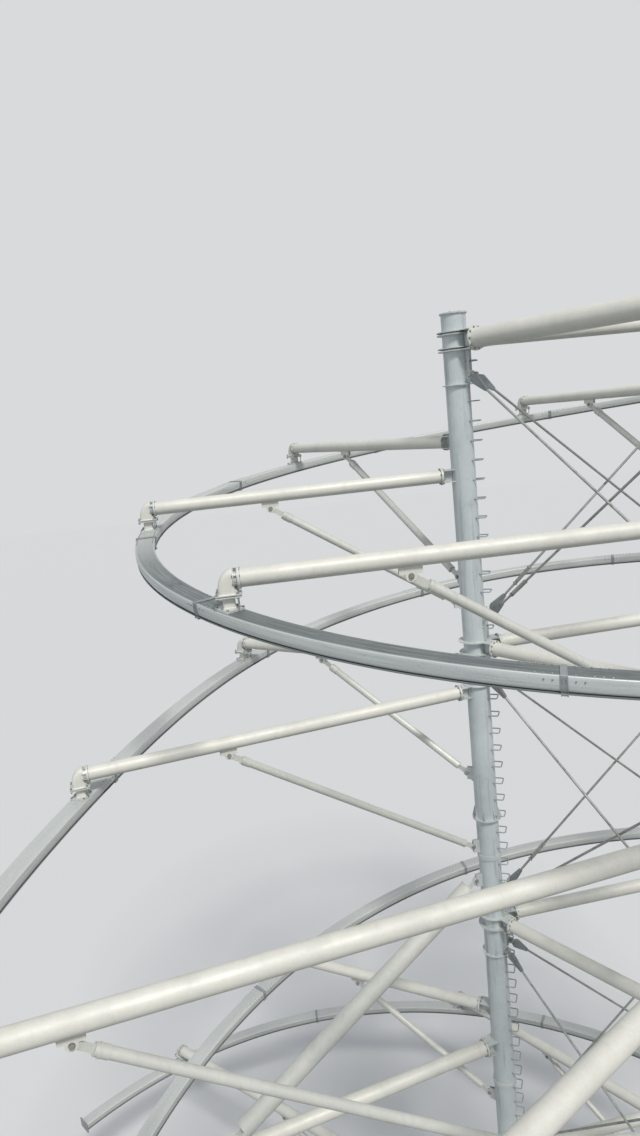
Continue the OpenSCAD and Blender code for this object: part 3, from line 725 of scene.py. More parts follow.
@dataclass(frozen=True)
class RailPaint:
    """The rail's worn coat. It reads the rail's own UV: metres along, and 0 to 1 round the half
    section from the middle of the top (0) over its edge (0.25) and side (0.55) to the groove
    (0.7) and the running flange (1). The first turn's front has a darker top, a painted dark
    reflection with streaks of stain in it. Over a later stretch the side is paler, painted
    sunlight. The groove and the running flange are darker, painted shade under the side. The
    pairs named in capitals say between which metres or which parts of the section each coat
    sets in."""

    name: str = "rail_coat"
    top: Colour = (208, 211, 208)
    side: Colour = (176, 182, 183)
    # the first turn's darker top: painted dark reflection, with streaks of stain from the next two
    # colours
    dark_reflection: Colour = (74, 82, 85)
    scuffed: Colour = (148, 155, 156)
    smudge: Colour = (72, 79, 82)
    fresh: Colour = (206, 209, 205)
    wall: Colour = (204, 211, 210)
    # pale: painted sunlight on the side over a later stretch
    pale: Colour = (236, 240, 237)
    streak: Colour = (162, 169, 171)
    scratch: Colour = (222, 226, 224)
    rubbed: Colour = (214, 218, 216)
    # groove and flange: painted shade under the side
    groove: Colour = (104, 111, 115)
    flange: Colour = (150, 155, 155)
    bare: Colour = (72, 77, 80)
    metal: float = 0.15

    # metres where the painted dark reflection with stain streaks sets in and ends, and where it
    # fades
    REFLECTION_AND_STAIN = (21.5, 25.0), (40.0, 47.0)
    DARK_FADE = (29.5, 34.5)
    # metres where the painted sunlight sets in
    PAINTED_SUN = (33.0, 38.0)
    WALL_AT = (0.235, 0.262)
    EDGE_AT = (0.2, 0.26), (0.26, 0.31)
    GROOVE_AT = (0.53, 0.57)
    FLANGE_AT = (0.74, 0.79)
    LINE = Layer(1.0, 5.0, 0.65, 0.42, 0.66)
    LONG = Layer(1.0, 5.0, 0.6, 0.42, 0.62)
    PATCH = Layer(1.0, 6.0, 0.68, 0.5, 0.66)
    CHIP = Layer(55.0, 3.0, 0.55, 0.63, 0.7)

    def build(self) -> bpy.types.Material:
        """Chooses the coat by the place round the section and adds lengthwise scuffs."""
        g = Graph(bpy.data.materials.new(self.name))
        uv = g.value("UVMap", {"uv_map": "run"})
        u, v = g.part(uv, 0), g.part(uv, 1)
        line = g.noise(uv, self.LINE, (0.9, 46.0, 1.0))
        long = g.noise(uv, self.LONG, (0.5, 14.0, 1.0))
        patch = g.noise(uv, self.PATCH, (1.9, 9.0, 1.0))
        chip, crystal = g.noise(g.place(), self.CHIP), g.cells(g.place(), 60.0)
        # painted sunlight: a paler side over a later stretch, which also lightens the painted dark
        # reflection on top
        painted_sun = u.step(*self.PAINTED_SUN)
        # the first turn's darker top: painted dark reflection, with streaks of stain
        reflection_and_stain = u.within(*self.REFLECTION_AND_STAIN) * (1.0 - 0.38 * u.step(*self.DARK_FADE))
        reflection_and_stain = reflection_and_stain * (1.0 - 0.6 * painted_sun)
        clean = g.mix(line * 0.35 + crystal * 0.3, self.top, self.side)
        dark = g.mix(line * 0.4 + long * 0.4, self.dark_reflection, self.scuffed)
        dark = g.mix(patch * 0.5, dark, self.smudge)
        deck = g.mix(reflection_and_stain * 0.9 + long * 0.08, clean, dark)
        wall = g.mix(reflection_and_stain * 0.85, self.fresh, self.wall)
        # painted sunlight on the side, until the stretch of painted dark reflection ends
        wall = g.mix(painted_sun * (1.0 - u.step(*self.REFLECTION_AND_STAIN[1])) * 0.75, wall, self.pale)
        wall = g.mix(long * 0.4 + patch * 0.25, wall, self.streak)
        wall = g.mix(line * 0.3 + crystal * 0.12, wall, self.scratch)
        low, edge = v.step(*self.GROOVE_AT), v.within(*self.EDGE_AT)
        colour = g.mix(v.step(*self.WALL_AT), deck, wall)
        colour = g.mix(edge * (0.3 + 0.5 * line), colour, self.rubbed)
        # painted shade in the groove under the side
        colour = g.mix(low, colour, self.groove)
        # painted shade along the running flange, streaked
        flange = v.step(*self.FLANGE_AT)
        colour = g.mix(flange * (0.35 + 0.4 * line), colour, self.flange)
        colour = g.mix(chip * 0.3, colour, self.bare)
        rough = 0.46 + 0.2 * patch - 0.14 * line + 0.12 * low
        return g.finish(colour, rough, self.metal, line * 0.5 + chip * 0.5, 0.0007)


@dataclass(frozen=True)
class DarkSteel:
    """Bare or blackened steel with a little rust and rubbed edges."""

    name: str
    base: Colour
    rust: Colour
    metal: float = 0.4
    rough: float = 0.42

    CLOUD = Layer(14.0, 5.0, 0.65, 0.5, 0.7)
    FINE = Layer(120.0, 3.0, 0.55, 0.4, 0.7)
    WEAR = Layer(3.0, 4.0, 0.55, 0.4, 0.7)

    def build(self) -> bpy.types.Material:
        """Mixes the steel with rust in small clouds, and roughens it there."""
        g = Graph(bpy.data.materials.new(self.name))
        p = g.place()
        cloud, fine, wear = (g.noise(p, layer) for layer in (self.CLOUD, self.FINE, self.WEAR))
        bare = srgb(*self.base)
        colour = g.mix(wear * 0.4, bare, tuple(min(1.0, 1.7 * c) for c in bare))
        colour = g.mix(cloud * 0.6, colour, self.rust)
        rough = self.rough + 0.25 * cloud + 0.1 * fine
        return g.finish(colour, rough, self.metal, fine * 0.6 + cloud * 0.4, 0.0006)


class Finish(Enum):
    """The finishes, each with its recipe."""

    # The third colour of each zinc is its grime and painted shade; under sets the painted shade on
    # its downward faces.
    TUBE = Galvanised("tube_zinc_coat", (231, 230, 221), (214, 214, 207), (158, 161, 160),
                      metal=0.08, rough=0.56, runs=0.1, blots=0.12, under=0.42)
    COLUMN = Galvanised("column_zinc_coat", (212, 219, 221), (192, 201, 204), (124, 132, 136),
                        metal=0.15, runs=0.5, blots=0.2)
    PLATE = Galvanised("plate_zinc_coat", (216, 220, 217), (188, 194, 194), (124, 130, 132),
                       metal=0.2, rough=0.45, crystal=60.0, runs=0.2)
    COLLAR = Galvanised("collar_zinc_coat", (162, 168, 170), (138, 145, 147), (98, 105, 108),
                        metal=0.2, rough=0.42, crystal=90.0)
    STEP = Galvanised("step_zinc_coat", (176, 183, 185), (140, 148, 151), (92, 96, 98),
                      metal=0.4, crystal=120.0, under=0.3)
    RAIL = RailPaint()
    STRUT = Galvanised("strut_zinc_coat", (219, 219, 212), (200, 202, 197), (146, 150, 148),
                       metal=0.12, runs=0.15, blots=0.15, under=0.42)
    ROD = DarkSteel("rod_steel_coat", (146, 150, 147), (122, 108, 92))
    FORK = DarkSteel("rod_fork_coat", (122, 129, 131), (112, 100, 86))
    BOLT = DarkSteel("bolt_zinc", (148, 152, 150), (112, 98, 80), metal=0.75, rough=0.34)
    WELD = DarkSteel("weld_zinc", (176, 181, 181), (140, 138, 130), metal=0.3, rough=0.55)


MATERIALS: dict[Finish, bpy.types.Material] = {}
SLOT_FINISH = {
    "column_zinc": Finish.COLUMN, "tube_zinc": Finish.TUBE, "bracket_zinc": Finish.PLATE,
    "rod_steel": Finish.ROD, "rail_steel": Finish.RAIL, "band_zinc": Finish.COLLAR,
    "step_zinc": Finish.STEP,
}


def material(finish: Finish) -> bpy.types.Material:
    """The finish's material, built once."""
    if finish not in MATERIALS:
        MATERIALS[finish] = finish.value.build()
    return MATERIALS[finish]


def shown(name: str, data: bpy.types.ID) -> bpy.types.Object:
    """A new object of the scene with a mesh, a light or a camera."""
    thing = bpy.data.objects.new(name, data)
    bpy.context.scene.collection.objects.link(thing)
    return thing


def made(name: str, surface: Surface, finish: Finish, slot: str, replaces: Iterable[str] = (),
         sharp: float = 35.0) -> bpy.types.Object:
    """Puts a surface into the scene as a piece of the part.

    Args:
        name: of the piece.
        surface: its shape.
        finish: its finish.
        slot: the material slot of the record; not used.
        replaces: nodes that it stands for.
        sharp: edges that turn by more degrees than this stay sharp.
    Returns:
        The object.
    """
    mesh = bpy.data.meshes.new(name)
    faces = [face for group in surface.faces for face in group.tolist()]
    mesh.from_pydata(surface.verts.tolist(), [], faces)
    if surface.uv is not None:
        corner = np.zeros(len(mesh.loops), np.int32)
        mesh.loops.foreach_get("vertex_index", corner)
        flat = surface.uv[corner].astype(np.float32).ravel()
        mesh.uv_layers.new(name="run").data.foreach_set("uv", flat)
    mesh.shade_smooth()
    mesh.set_sharp_from_angle(angle=math.radians(sharp))
    mesh.materials.append(material(finish))
    piece = shown(name, mesh)
    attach(piece, "root")
    if replaces:
        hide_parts(*replaces)
    LOG.info("%s: %d faces", name, len(faces))
    return piece


def spread(name: str, shape: Surface, spots: Spots, finish: Finish = Finish.BOLT,
           slot: str = "bracket_zinc") -> None:
    """One piece of many copies of a small shape, one at each spot."""
    made(name, shape.placed(spots.frames()), finish, slot)


# Sub-assemblies


@dataclass
class SolidFrame:
    """The solids that are shown as they are: they only get their finishes."""

    nodes: dict[str, bpy.types.Object]
    subparts: list[dict[str, str]]

    def dress(self) -> None:
        """Gives each node the finish of its material slot, and the struts their own."""
        for part in self.subparts:
            slots = self.nodes[part["node"]].data.materials
            slots.clear()
            prop = part["node"].startswith(("struts", "raker"))
            slots.append(material(Finish.STRUT if prop else SLOT_FINISH[part["material_slot"]]))
            LOG.info("dressed %s", part["node"])


@dataclass
class Rail:
    """The winding box rail, drawn smooth, with rounded edges, closed ends and splice collars."""

    step: float = 0.11
    edge_r: float = 0.012
    belly_from: float = 0.05
    belly_tall: float = 0.097
    belly_in: float = 0.03
    neck_in: float = 0.042
    foot_share: float = 0.46
    band_half: float = 0.03
    band_grow: float = 0.007
    lip_half: float = 0.004
    lip_grow: float = 0.01
    band_bolts: tuple[float, float] = (0.026, 0.05)
    band_bolt_x: float = 0.016
    row_bolts: tuple[float, ...] = (0.045,)
    row_from: float = 0.09
    row_pitch: float = 0.07
    side_row: float = 0.2
    bolt_in: float = 0.022

    def half(self, grow: float) -> tuple[Array, Array]:
        """Right half of the section from the top's middle: distance out and down, and its UV value.

        The top's edge is an arc, the side goes straight down and then in along a quarter ellipse,
        and a narrow groove parts it from the running flange."""
        w, h, r = PATH.width / 2 + grow, PATH.height + grow, self.edge_r
        a, b = np.radians(np.linspace(90, 0, 5)), np.radians(np.linspace(0, 75, 7))
        top = np.stack([w - r + r * np.cos(a), -grow + r - r * np.sin(a)], -1)
        side = np.stack([w - self.belly_in * (1 - np.cos(b)),
                         self.belly_from + (self.belly_tall + grow) * np.sin(b)], -1)
        neck, foot = w - self.neck_in, PATH.width * self.foot_share + 1.8 * grow
        low = self.belly_from + self.belly_tall
        rest = np.array([[neck, low], [neck, low + 0.007], [foot, low + 0.01], [foot, h - 0.006],
                         [foot - 0.005, h]])
        v = np.concatenate([[0.0], np.linspace(0.24, 0.27, 5), np.linspace(0.34, 0.55, 7),
                            [0.62, 0.7, 0.8, 0.85, 0.9, 1.0]])
        return np.concatenate([[[0.0, -grow]], top, side, rest, [[0.0, h]]]), v

    def swept(self, t: Array, grow: float = 0.0) -> Surface:
        """The section carried along the path: point + out * outward - down * Z, and UV. The whole
        section is the right half, then its mirror image without the points in the middle."""
        p, v = self.half(grow)
        p, v = np.concatenate([p, (p * [-1, 1])[-2:0:-1]]), np.concatenate([v, v[-2:0:-1]])
        spine, out = PATH.point(t), PATH.outward(t)
        points = spine[:, None] + p[None, :, :1] * out[:, None] - p[None, :, 1:] * Z
        along = np.cumsum(np.linalg.norm(np.diff(spine, axis=0), axis=1))
        along = np.append(0.0, along) + PATH.metres * (t[0] - PATH.start)
        return lofted(points, np.stack(np.broadcast_arrays(along[:, None], v[None]), -1))

    def turns_at(self, t: float, metres: float) -> float:
        """Turns that cover a length of rail near t."""
        pace = np.linalg.norm(PATH.point(t + 0.001) - PATH.point(t - 0.001)) / 0.002
        return float(metres / pace)

    @staticmethod
    def turn_of(t: float) -> int:
        """The turn whose node a place on the rail belongs to."""
        return 1 + sum(t >= last for last in (0.97, 1.97, 2.97))

    def build(self) -> None:
        """One piece for each turn of rail, and the collars on it."""
        marks = PATH.splices()
        cuts = np.concatenate([[PATH.start], marks, [PATH.end]])
        mids = (cuts[1:] + cuts[:-1]) / 2
        for turn in range(1, 5):
            mine = [k for k, m in enumerate(mids) if self.turn_of(m) == turn]
            t0, t1 = cuts[mine[0]], cuts[mine[-1] + 1]
            run = self.swept(np.linspace(t0, t1, int((t1 - t0) * PATH.metres / self.step)))
            made(f"rail_run_{turn}", run, Finish.RAIL, "rail_steel", [f"rail_turn_{turn}"], 24.0)
            self.collars(turn, [t for t in marks if self.turn_of(t) == turn])

    def collars(self, turn: int, marks: list[float]) -> None:
        """Splice collars: a flat band with a lip along both its edges and bolts in its sides, and
        rows of small bolts along the rail's top edges and sides next to it."""
        shells, bolts = [], []
        rows = self.row_from + self.row_pitch * np.arange(5)
        rows = np.concatenate([-rows[::-1], [-self.band_bolt_x, self.band_bolt_x], rows])
        for t in marks:
            w, lip = self.turns_at(t, self.band_half), self.turns_at(t, self.lip_half)
            shells.append(self.swept(np.linspace(t - w, t + w, 3), self.band_grow))
            for edge in (t - w + lip, t + w - lip):
                shells.append(self.swept(np.linspace(edge - lip, edge + lip, 2), self.lip_grow))
            for s in rows:
                u, on_band = t + self.turns_at(t, s), abs(s) < self.row_from
                on_side = self.row_bolts if abs(s) < self.side_row else ()
                downs = self.band_bolts if on_band else on_side
                for side in (-PATH.outward(u), PATH.outward(u)):
                    face = PATH.point(u) + side * (PATH.width / 2 + on_band * self.band_grow)
                    bolts += [(face - Z * down, side) for down in downs]
                    if not on_band:
                        bolts.append((face - side * self.bolt_in, Z))
        made(f"splice_collars_{turn}", joined(shells), Finish.COLLAR, "band_zinc",
             [f"splice_bands_{turn}"])
        spread(f"splice_bolts_{turn}", hex_head(0.013, 0.008), Spots.paired(bolts),
               slot="band_zinc")


@dataclass
class Fastenings:
    """Bolts, nuts, pins, sleeves and weld beads on the arms, struts and ring beams."""

    bolt: float = 0.024
    pin: float = 0.05
    raker_arm: float = 2.22
    raker_foot: float = 10.8
    raker_reach: float = 5.0
    sleeve_r: float = 0.0605
    sleeve_back: float = 0.31

    def tubes(self) -> tuple[list[Tube], list[Tube]]:
        """Of each arm, then of each ring beam: its frame, where its tube starts and ends along
        +X, and the tube's diameter."""
        arms = [(a.basis, a.reach, a.length - a.hood_back, a.d) for a in ARMS]
        beams = [(level_frame(u, p), TOWER.beam_reach, TOWER.side - TOWER.beam_reach, d)
                 for p, u, d in TOWER.beams()]
        return arms, beams

    def flanges(self, name: str, ends: list[Tube], count: int) -> None:
        """Bolts through pairs of flanges, with their heads outside and their nuts inside.

        Args:
            name: start of the pieces' names.
            ends: of each pair, its frame, its place along +X, the tube's end and its diameter.
            count: of the bolts in a pair.
        """
        for kind, shape, way in (("bolts", hex_head(self.bolt, 0.015), 1),
                                 ("nuts", hex_nut(self.bolt, 0.014, 0.012), -1)):
            spread(f"{name}_{kind}", shape, Spots.gathered(
                Spots.circle(d / 2 + TOWER.bolt_out, count, x + way * TOWER.plate, way).carried(m)
                for m, x, _, d in ends))

    def pins(self) -> None:
        """A pin with head and nut through both cheeks at each end of the struts and the raker."""
        heads, nuts = [], []
        for arm in ARMS:
            ends = [*arm.strut]
            if arm.t == self.raker_arm:
                ends += [[TOWER.column_r + arm.pin_out, self.raker_foot - arm.seat[2] - arm.rise],
                         [self.raker_reach, arm.d / 2 + arm.pin_lift]]
            middle = np.insert(np.array(ends), 1, 0.0, axis=1)
            for found, way in ((heads, Y), (nuts, -Y)):
                at = Spots.along(middle + way * 2 * TOWER.plate, way)
                found.append(at.carried(arm.basis))
        spread("strut_pin_heads", hex_head(self.pin, 0.026), Spots.gathered(heads))
        spread("strut_pin_nuts", hex_nut(self.pin, 0.028, 0.02), Spots.gathered(nuts))

    def sleeves(self) -> None:
        """A short sleeve with a raised lip round the upper end of each strut's tube."""
        r, places = self.sleeve_r, []
        ring = turned([(r, -0.055), (r + 0.007, -0.052), (r + 0.007, 0.035), (r + 0.012, 0.038),
                       (r + 0.012, 0.052), (r + 0.006, 0.056), (r, 0.056)], 28)
        for arm in ARMS:
            foot, head = np.insert(arm.strut, 1, 0.0, axis=1)
            d = unit(head - foot)
            places.append(Spots.along(head - d * self.sleeve_back, d).carried(arm.basis))
        spread("strut_sleeves", ring, Spots.gathered(places), Finish.STRUT, "tube_zinc")

    def beads(self, tubes: list[Tube]) -> None:
        """Weld beads where the tubes meet their flanges, by the tube's diameter."""
        sizes: dict[float, list[Spots]] = {}
        for m, low, high, d in tubes:
            ends = np.outer([low + TOWER.plate, high - TOWER.plate], X)
            sizes.setdefault(d, []).append(Spots.along(ends, X).carried(m))
        parts = [bead(d / 2, 0.006).placed(Spots.gathered(at).frames()) for d, at in sizes.items()]
        made("tube_weld_beads", joined(parts), Finish.WELD, "tube_zinc")

    def build(self) -> None:
        """All fastenings. A beam has flanges at both ends, so it is also taken backwards."""
        arms, beams = self.tubes()
        back = [(level_frame(-m[:2, 0], m[:3, 3] + m[:3, 0] * TOWER.side), *rest)
                for m, *rest in beams]
        self.flanges("arm_flange", arms, 8)
        self.flanges("beam_flange", [end for pair in zip(beams, back) for end in pair], 10)
        self.pins()
        self.sleeves()
        self.beads(arms + beams)


@dataclass
class Hangers:
    """The hangers at the arms' ends: an end flange with a short neck, a curved hood, two plates
    bolted together at mid height, a stub and a foot plate on the rail."""

    neck_r: float = 0.09
    neck_end: float = 0.045
    lip_end: float = 0.056
    drop: float = 0.15
    plate_gap: float = 0.008
    plate_from: tuple[float, float] = (-0.02, -0.118)
    plate_to: tuple[float, float] = (0.262, 0.118)
    hood_high: float = 0.113
    hood_low: float = 0.105
    hood_wide: float = 0.095
    hood_power: float = 3.6
    stub_half: float = 0.068
    foot_t: float = 0.03
    foot_half: tuple[float, float] = (0.115, 0.12)
    flare: float = 0.007
    corner_x: tuple[float, float] = (0.024, 0.242)
    corner_y: float = 0.096
    stud_under: float = 0.024
    rod_under: float = 0.004
    foot_bolt: tuple[float, float] = (0.096, 0.101)

    @property
    def under(self) -> float:
        """Height of the lower plate's underside in the frame of the arm's end."""
        return -self.drop - 2 * TOWER.plate - self.plate_gap

    def hood(self) -> Surface:
        """The curved hood in the frame of the arm's end: a rounded rectangle carried along a
        quarter ellipse from the neck's lip down to the plates, with a flare for its weld."""
        a = np.radians(np.linspace(0, 90, 10))
        back = Arm.hood_back - self.lip_end
        x, z = self.lip_end + back * np.sin(a), -(self.drop - 0.02) * (1 - np.cos(a))
        x, z = np.append(x, [x[-1]] * 2), np.append(z, [-self.drop + self.flare, -self.drop])
        a = np.append(a, [a[-1]] * 2)[:, None]
        high = np.append(np.linspace(self.hood_high, self.hood_low, 10),
                         [self.hood_low, self.hood_low + self.flare])
        wide = np.append(np.full(11, self.hood_wide), self.hood_wide + self.flare)
        ring = squared(high, wide, self.hood_power)
        return lofted(np.stack([x[:, None] + ring[..., 0] * np.sin(a), ring[..., 1],
                                z[:, None] + ring[..., 0] * np.cos(a)], -1))

    def stub(self) -> Surface:
        """The square stub between the plates and the foot: rounded rectangles up its height, wider
        where it is welded."""
        low = -Arm.rise + self.foot_t - 0.008
        half = self.stub_half + np.array([1, 1, 0, 0, 1]) * self.flare
        ring = squared(half, half, 5.0) + [Arm.hood_back, 0.0]
        return stacked(ring, [low, low + 0.012, low + 0.018, self.under - self.flare, self.under])

    def plates(self) -> list[Surface]:
        """The two plates at mid height, in the frame of the arm's end."""
        return [slab((*self.plate_from, top - TOWER.plate), (*self.plate_to, top))
                for top in (-self.drop, self.under + TOWER.plate)]

    def discs(self, arm: Arm) -> Surface:
        """The end flange and the neck's lip: two discs round the tube's axis, and the neck."""
        r = arm.d / 2 + TOWER.flange_lip / 2
        parts = [drum(r, 0.0, TOWER.plate, 32, 0.002),
                 drum(r, self.neck_end, self.lip_end, 32, 0.002),
                 drum(self.neck_r, 0.01, self.neck_end + 0.002, 24)]
        return joined(parts).placed(Spots.along(0 * X, X).frames())

    def seat_frame(self, arm: Arm) -> Array:
        """4 x 4 frame of the foot plate: +X along the rail, +Z square to its top."""
        along = unit(arm.chord[1] - arm.chord[0])
        return framed(along, unit(np.cross(Z, along)), arm.seat)

    def end_frame(self, arm: Arm) -> Array:
        """4 x 4 frame of the arm's end face, on the tube's axis."""
        m = arm.basis
        m[:3, 3] += m[:3, 0] * (arm.length - Arm.hood_back)
        return m

    def spots(self, arm: Arm) -> dict[str, Spots]:
        """Where each kind of bolt sits on one hanger, by the piece's name."""
        end = self.end_frame(arm)
        corners = np.array([[x, y, 0.0] for x in self.corner_x
                            for y in (-self.corner_y, self.corner_y)])
        neck = Spots.circle(arm.d / 2 + 0.004, 8, 0.01, 1)
        hood = np.abs(neck.points[:, 1:] / [self.hood_wide, self.hood_high]) ** self.hood_power
        free = neck.points[hood.sum(1) > 1]
        rods = Arm.rise - self.foot_t + self.rod_under
        x0, y0 = self.foot_bolt
        foot = [[x, y, self.foot_t] for x in (-x0, 0.0, x0) for y in (-y0, y0)]
        found = {
            "hanger_nuts": Spots.along(corners - self.drop * Z, Z),
            "hanger_lock_nuts": Spots.along(corners + self.under * Z, -Z),
            "hanger_studs": Spots.along(corners[2:] + (self.under - self.stud_under) * Z, Z),
            "hanger_rods": Spots.along(corners[:2] - rods * Z, Z),
            "neck_bolts": Spots.along(free + (self.lip_end - 0.01) * X, X),
            "neck_studs": neck,
            "end_flange_bolts": Spots.circle(arm.d / 2 + 0.008, 8, -TOWER.plate, -1),
        }
        found = {name: spots.carried(end) for name, spots in found.items()}
        return {**found, "foot_bolts": Spots.along(foot, Z).carried(self.seat_frame(arm))}

    def bolts(self) -> None:
        """Bolts across the neck and through the plates, rods down to the foot, and its bolts."""
        tables = [self.spots(arm) for arm in ARMS]
        for name, shape in {
            "hanger_nuts": hex_head(0.026, 0.014), "hanger_lock_nuts": hex_head(0.026, 0.014),
            "hanger_studs": stud(0.0075, 0.094, 0.003), "hanger_rods": stud(0.0075, 0.17, 0.004),
            "neck_bolts": hex_head(0.02, 0.012), "neck_studs": stud(0.008, 0.04),
            "foot_bolts": hex_head(0.024, 0.015), "end_flange_bolts": hex_head(0.015, 0.01),
        }.items():
            spread(name, shape, Spots.gathered(table[name] for table in tables))

    def build(self) -> None:
        """Hoods, plates and bolts, the first two by turn of the rail."""
        (x, y), high = self.foot_half, self.foot_t
        foot = slab((-x, -y, 0.001), (x, y, high))
        for turn in range(1, 5):
            arms = [arm for arm in ARMS if arm.turn == turn]
            ends = np.array([self.end_frame(arm) for arm in arms])
            made(f"hanger_hoods_{turn}", joined(p.placed(ends) for p in (self.hood(), self.stub())),
                 Finish.TUBE, "bracket_zinc", [f"hangers_turn_{turn}"])
            flat = [p.placed(ends) for p in self.plates()]
            flat.append(foot.placed(np.array([self.seat_frame(arm) for arm in arms])))
            flat += [self.discs(arm).placed(end[None]) for arm, end in zip(arms, ends)]
            made(f"hanger_plates_{turn}", joined(flat), Finish.PLATE, "bracket_zinc")
        self.bolts()


@dataclass
class RodEnds:
    """Pins and forks at the bracing rods' ends, and a turnbuckle on every rod."""

    sleeve_r: float = 0.034
    sleeve_l: float = 0.3
    sleeve_edge: float = 0.012
    sleeve_at: float = 0.8
    lock_half: float = 0.016
    head_out: float = 0.0195
    nut_out: float = 0.04
    fork_edge: float = 0.004
    fork_rows: tuple[tuple[float, float, float], ...] = (
        (0.05, 0.0225, 0.045), (0.09, 0.0225, 0.07), (0.12, 0.0225, 0.075),
        (0.30, 0.0225, 0.042), (0.36, 0.024, 0.03), (0.38, 0.021, 0.024))

    def fork(self) -> Surface:
        """A fork's tapered body along +X: rectangles across it with cut corners, widest by the
        pin. Each of fork_rows gives x, half the width along Y and half the height along Z."""
        rows = np.array(self.fork_rows)
        signs = np.repeat([(-1, -1), (1, -1), (1, 1), (-1, 1)], 2, axis=0)
        cuts = np.array([(0, 1), (1, 0), (1, 0), (0, 1)] * 2) * self.fork_edge
        ring = signs * (rows[:, None, 1:] - cuts)
        x = np.broadcast_to(rows[:, None, :1], (*ring.shape[:2], 1))
        return lofted(np.concatenate([x, ring], -1))

    def turnbuckle(self) -> Surface:
        """A hexagon sleeve round the rod, with a lock nut at both its ends."""
        h, r = self.sleeve_l / 2, self.sleeve_r
        sleeve = turned([(r * 0.7, -h), (r, -h + self.sleeve_edge), (r, h - self.sleeve_edge),
                         (r * 0.7, h)], 6)
        lock = drum(r * 1.05, -self.lock_half, self.lock_half, 6)
        ends = Spots.along(np.outer([-h - 0.022, h + 0.022], Z), Z)
        return joined([sleeve, lock.placed(ends.frames())])

    def build(self) -> None:
        """Places a pin and a fork at each rod end and a turnbuckle a little way up each rod."""
        heads, nuts, sleeves, forks = [], [], [], []
        near, far = TOWER.pin_reach, TOWER.side - TOWER.pin_reach
        for p, u in TOWER.faces():
            side = np.array([-u[1], u[0], 0.0])
            for k in range(TOWER.bays):
                low, high = TOWER.level(k) + TOWER.lug_rise, TOWER.level(k + 1) - TOWER.lug_rise
                for z0, z1, out in ((low, high, side), (high, low, -side)):
                    a = np.array([*(p + u * near), z0]) + out * TOWER.rod_shift
                    b = np.array([*(p + u * far), z1]) + out * TOWER.rod_shift
                    d = unit(b - a)
                    for end, way in ((a, d), (b, -d)):
                        heads.append((end + out * self.head_out, out))
                        nuts.append((end - out * self.nut_out, -out))
                        forks.append(framed(way, side, end))
                    foot, up = (a, d) if z0 < z1 else (b, -d)
                    sleeves.append((foot + up * self.sleeve_at, up))
        made("rod_forks", self.fork().placed(np.array(forks)), Finish.FORK, "rod_steel")
        spread("rod_pin_heads", hex_head(0.046, 0.022), Spots.paired(heads))
        spread("rod_pin_nuts", hex_nut(0.046, 0.024, 0.016), Spots.paired(nuts))
        spread("rod_turnbuckles", self.turnbuckle(), Spots.paired(sleeves), Finish.ROD, "rod_steel")


@dataclass
class ColumnTrim:
    """Anchor nuts, cap bolts and weld beads on the columns, joint webs and lug rings."""

    bead_r: float = 0.006
    caps_in: float = 0.05
    cap_t: float = 0.02
    web_half: float = 0.005
    web_out: float = 0.06
    web_over: float = 0.11
    ring_under: float = 0.135
    ring_out: float = 0.045
    ring_t: float = 0.012

    def circles(self, radius: float, count: int, phase: float, height: float) -> Spots:
        """Upright spots on a circle round each column, the first one phase of a pitch round."""
        plan = polar(radius, 360.0 * (np.arange(count) + phase) / count)
        return Spots.along(np.concatenate([raised(plan + c, height) for c in TOWER.columns]), Z)

    def bolts(self) -> None:
        """A nut, washer and thread end on each anchor of the base plates, and bolts on the caps."""
        spread("anchor_nuts", hex_nut(0.046, 0.026, 0.05),
               self.circles(TOWER.anchor_r, TOWER.anchors, 0.5, TOWER.base_t))
        spread("cap_bolts", hex_head(0.024, 0.014),
               self.circles(TOWER.column_r - self.caps_in, 6, 0.0, TOWER.top + self.cap_t))

    def beads(self) -> None:
        """Beads above and below each ring plate of the joints, on the base plates and under the
        caps."""
        heights = [TOWER.base_t, TOWER.top]
        for k in range(1, TOWER.bays + 1):
            for side in (-1, 1):
                z = TOWER.level(k) + side * (TOWER.beam_d / 2 - 0.01)
                heights += [z - TOWER.plate / 2, z + TOWER.plate / 2]
        spots = [raised(np.tile(c, (len(heights), 1)), heights) for c in TOWER.columns]
        ring = bead(TOWER.column_r, self.bead_r, 40)
        made("column_weld_beads", ring.placed(Spots.along(np.concatenate(spots), Z).frames()),
             Finish.WELD, "column_zinc")

    def webs(self) -> None:
        """Upright plates between the ring plates and the rod lugs, in the plane of each face, and
        a thin ring under the lugs of each level."""
        frames, spots, r = [], [], TOWER.column_r
        ends = [*TOWER.faces(), *((p + u * TOWER.side, -u) for p, u in TOWER.faces())]
        for k in range(1, TOWER.bays + 1):
            ways = (-1,) if k == TOWER.bays else (-1, 1)
            frames += [framed([*u, 0.0], way * Z, [*p, TOWER.level(k)])
                       for p, u in ends for way in ways]
            spots.append(raised(TOWER.columns, TOWER.level(k) - TOWER.lug_rise - self.ring_under))
        web = slab((r - 0.004, TOWER.beam_d / 2, -self.web_half),
                   (r + self.web_out, TOWER.lug_rise + self.web_over, self.web_half))
        made("joint_webs", web.placed(np.array(frames)), Finish.PLATE, "bracket_zinc")
        low, high = r - 0.002, r + self.ring_out
        ring = hooped(np.array([low, high, high, low]), np.array([0, 0, 1, 1]) * self.ring_t, 40)
        spread("lug_rings", ring, Spots.along(np.concatenate(spots), Z), Finish.COLUMN,
               "column_zinc")

    def build(self) -> None:
        """All column trim."""
        self.bolts()
        self.beads()
        self.webs()


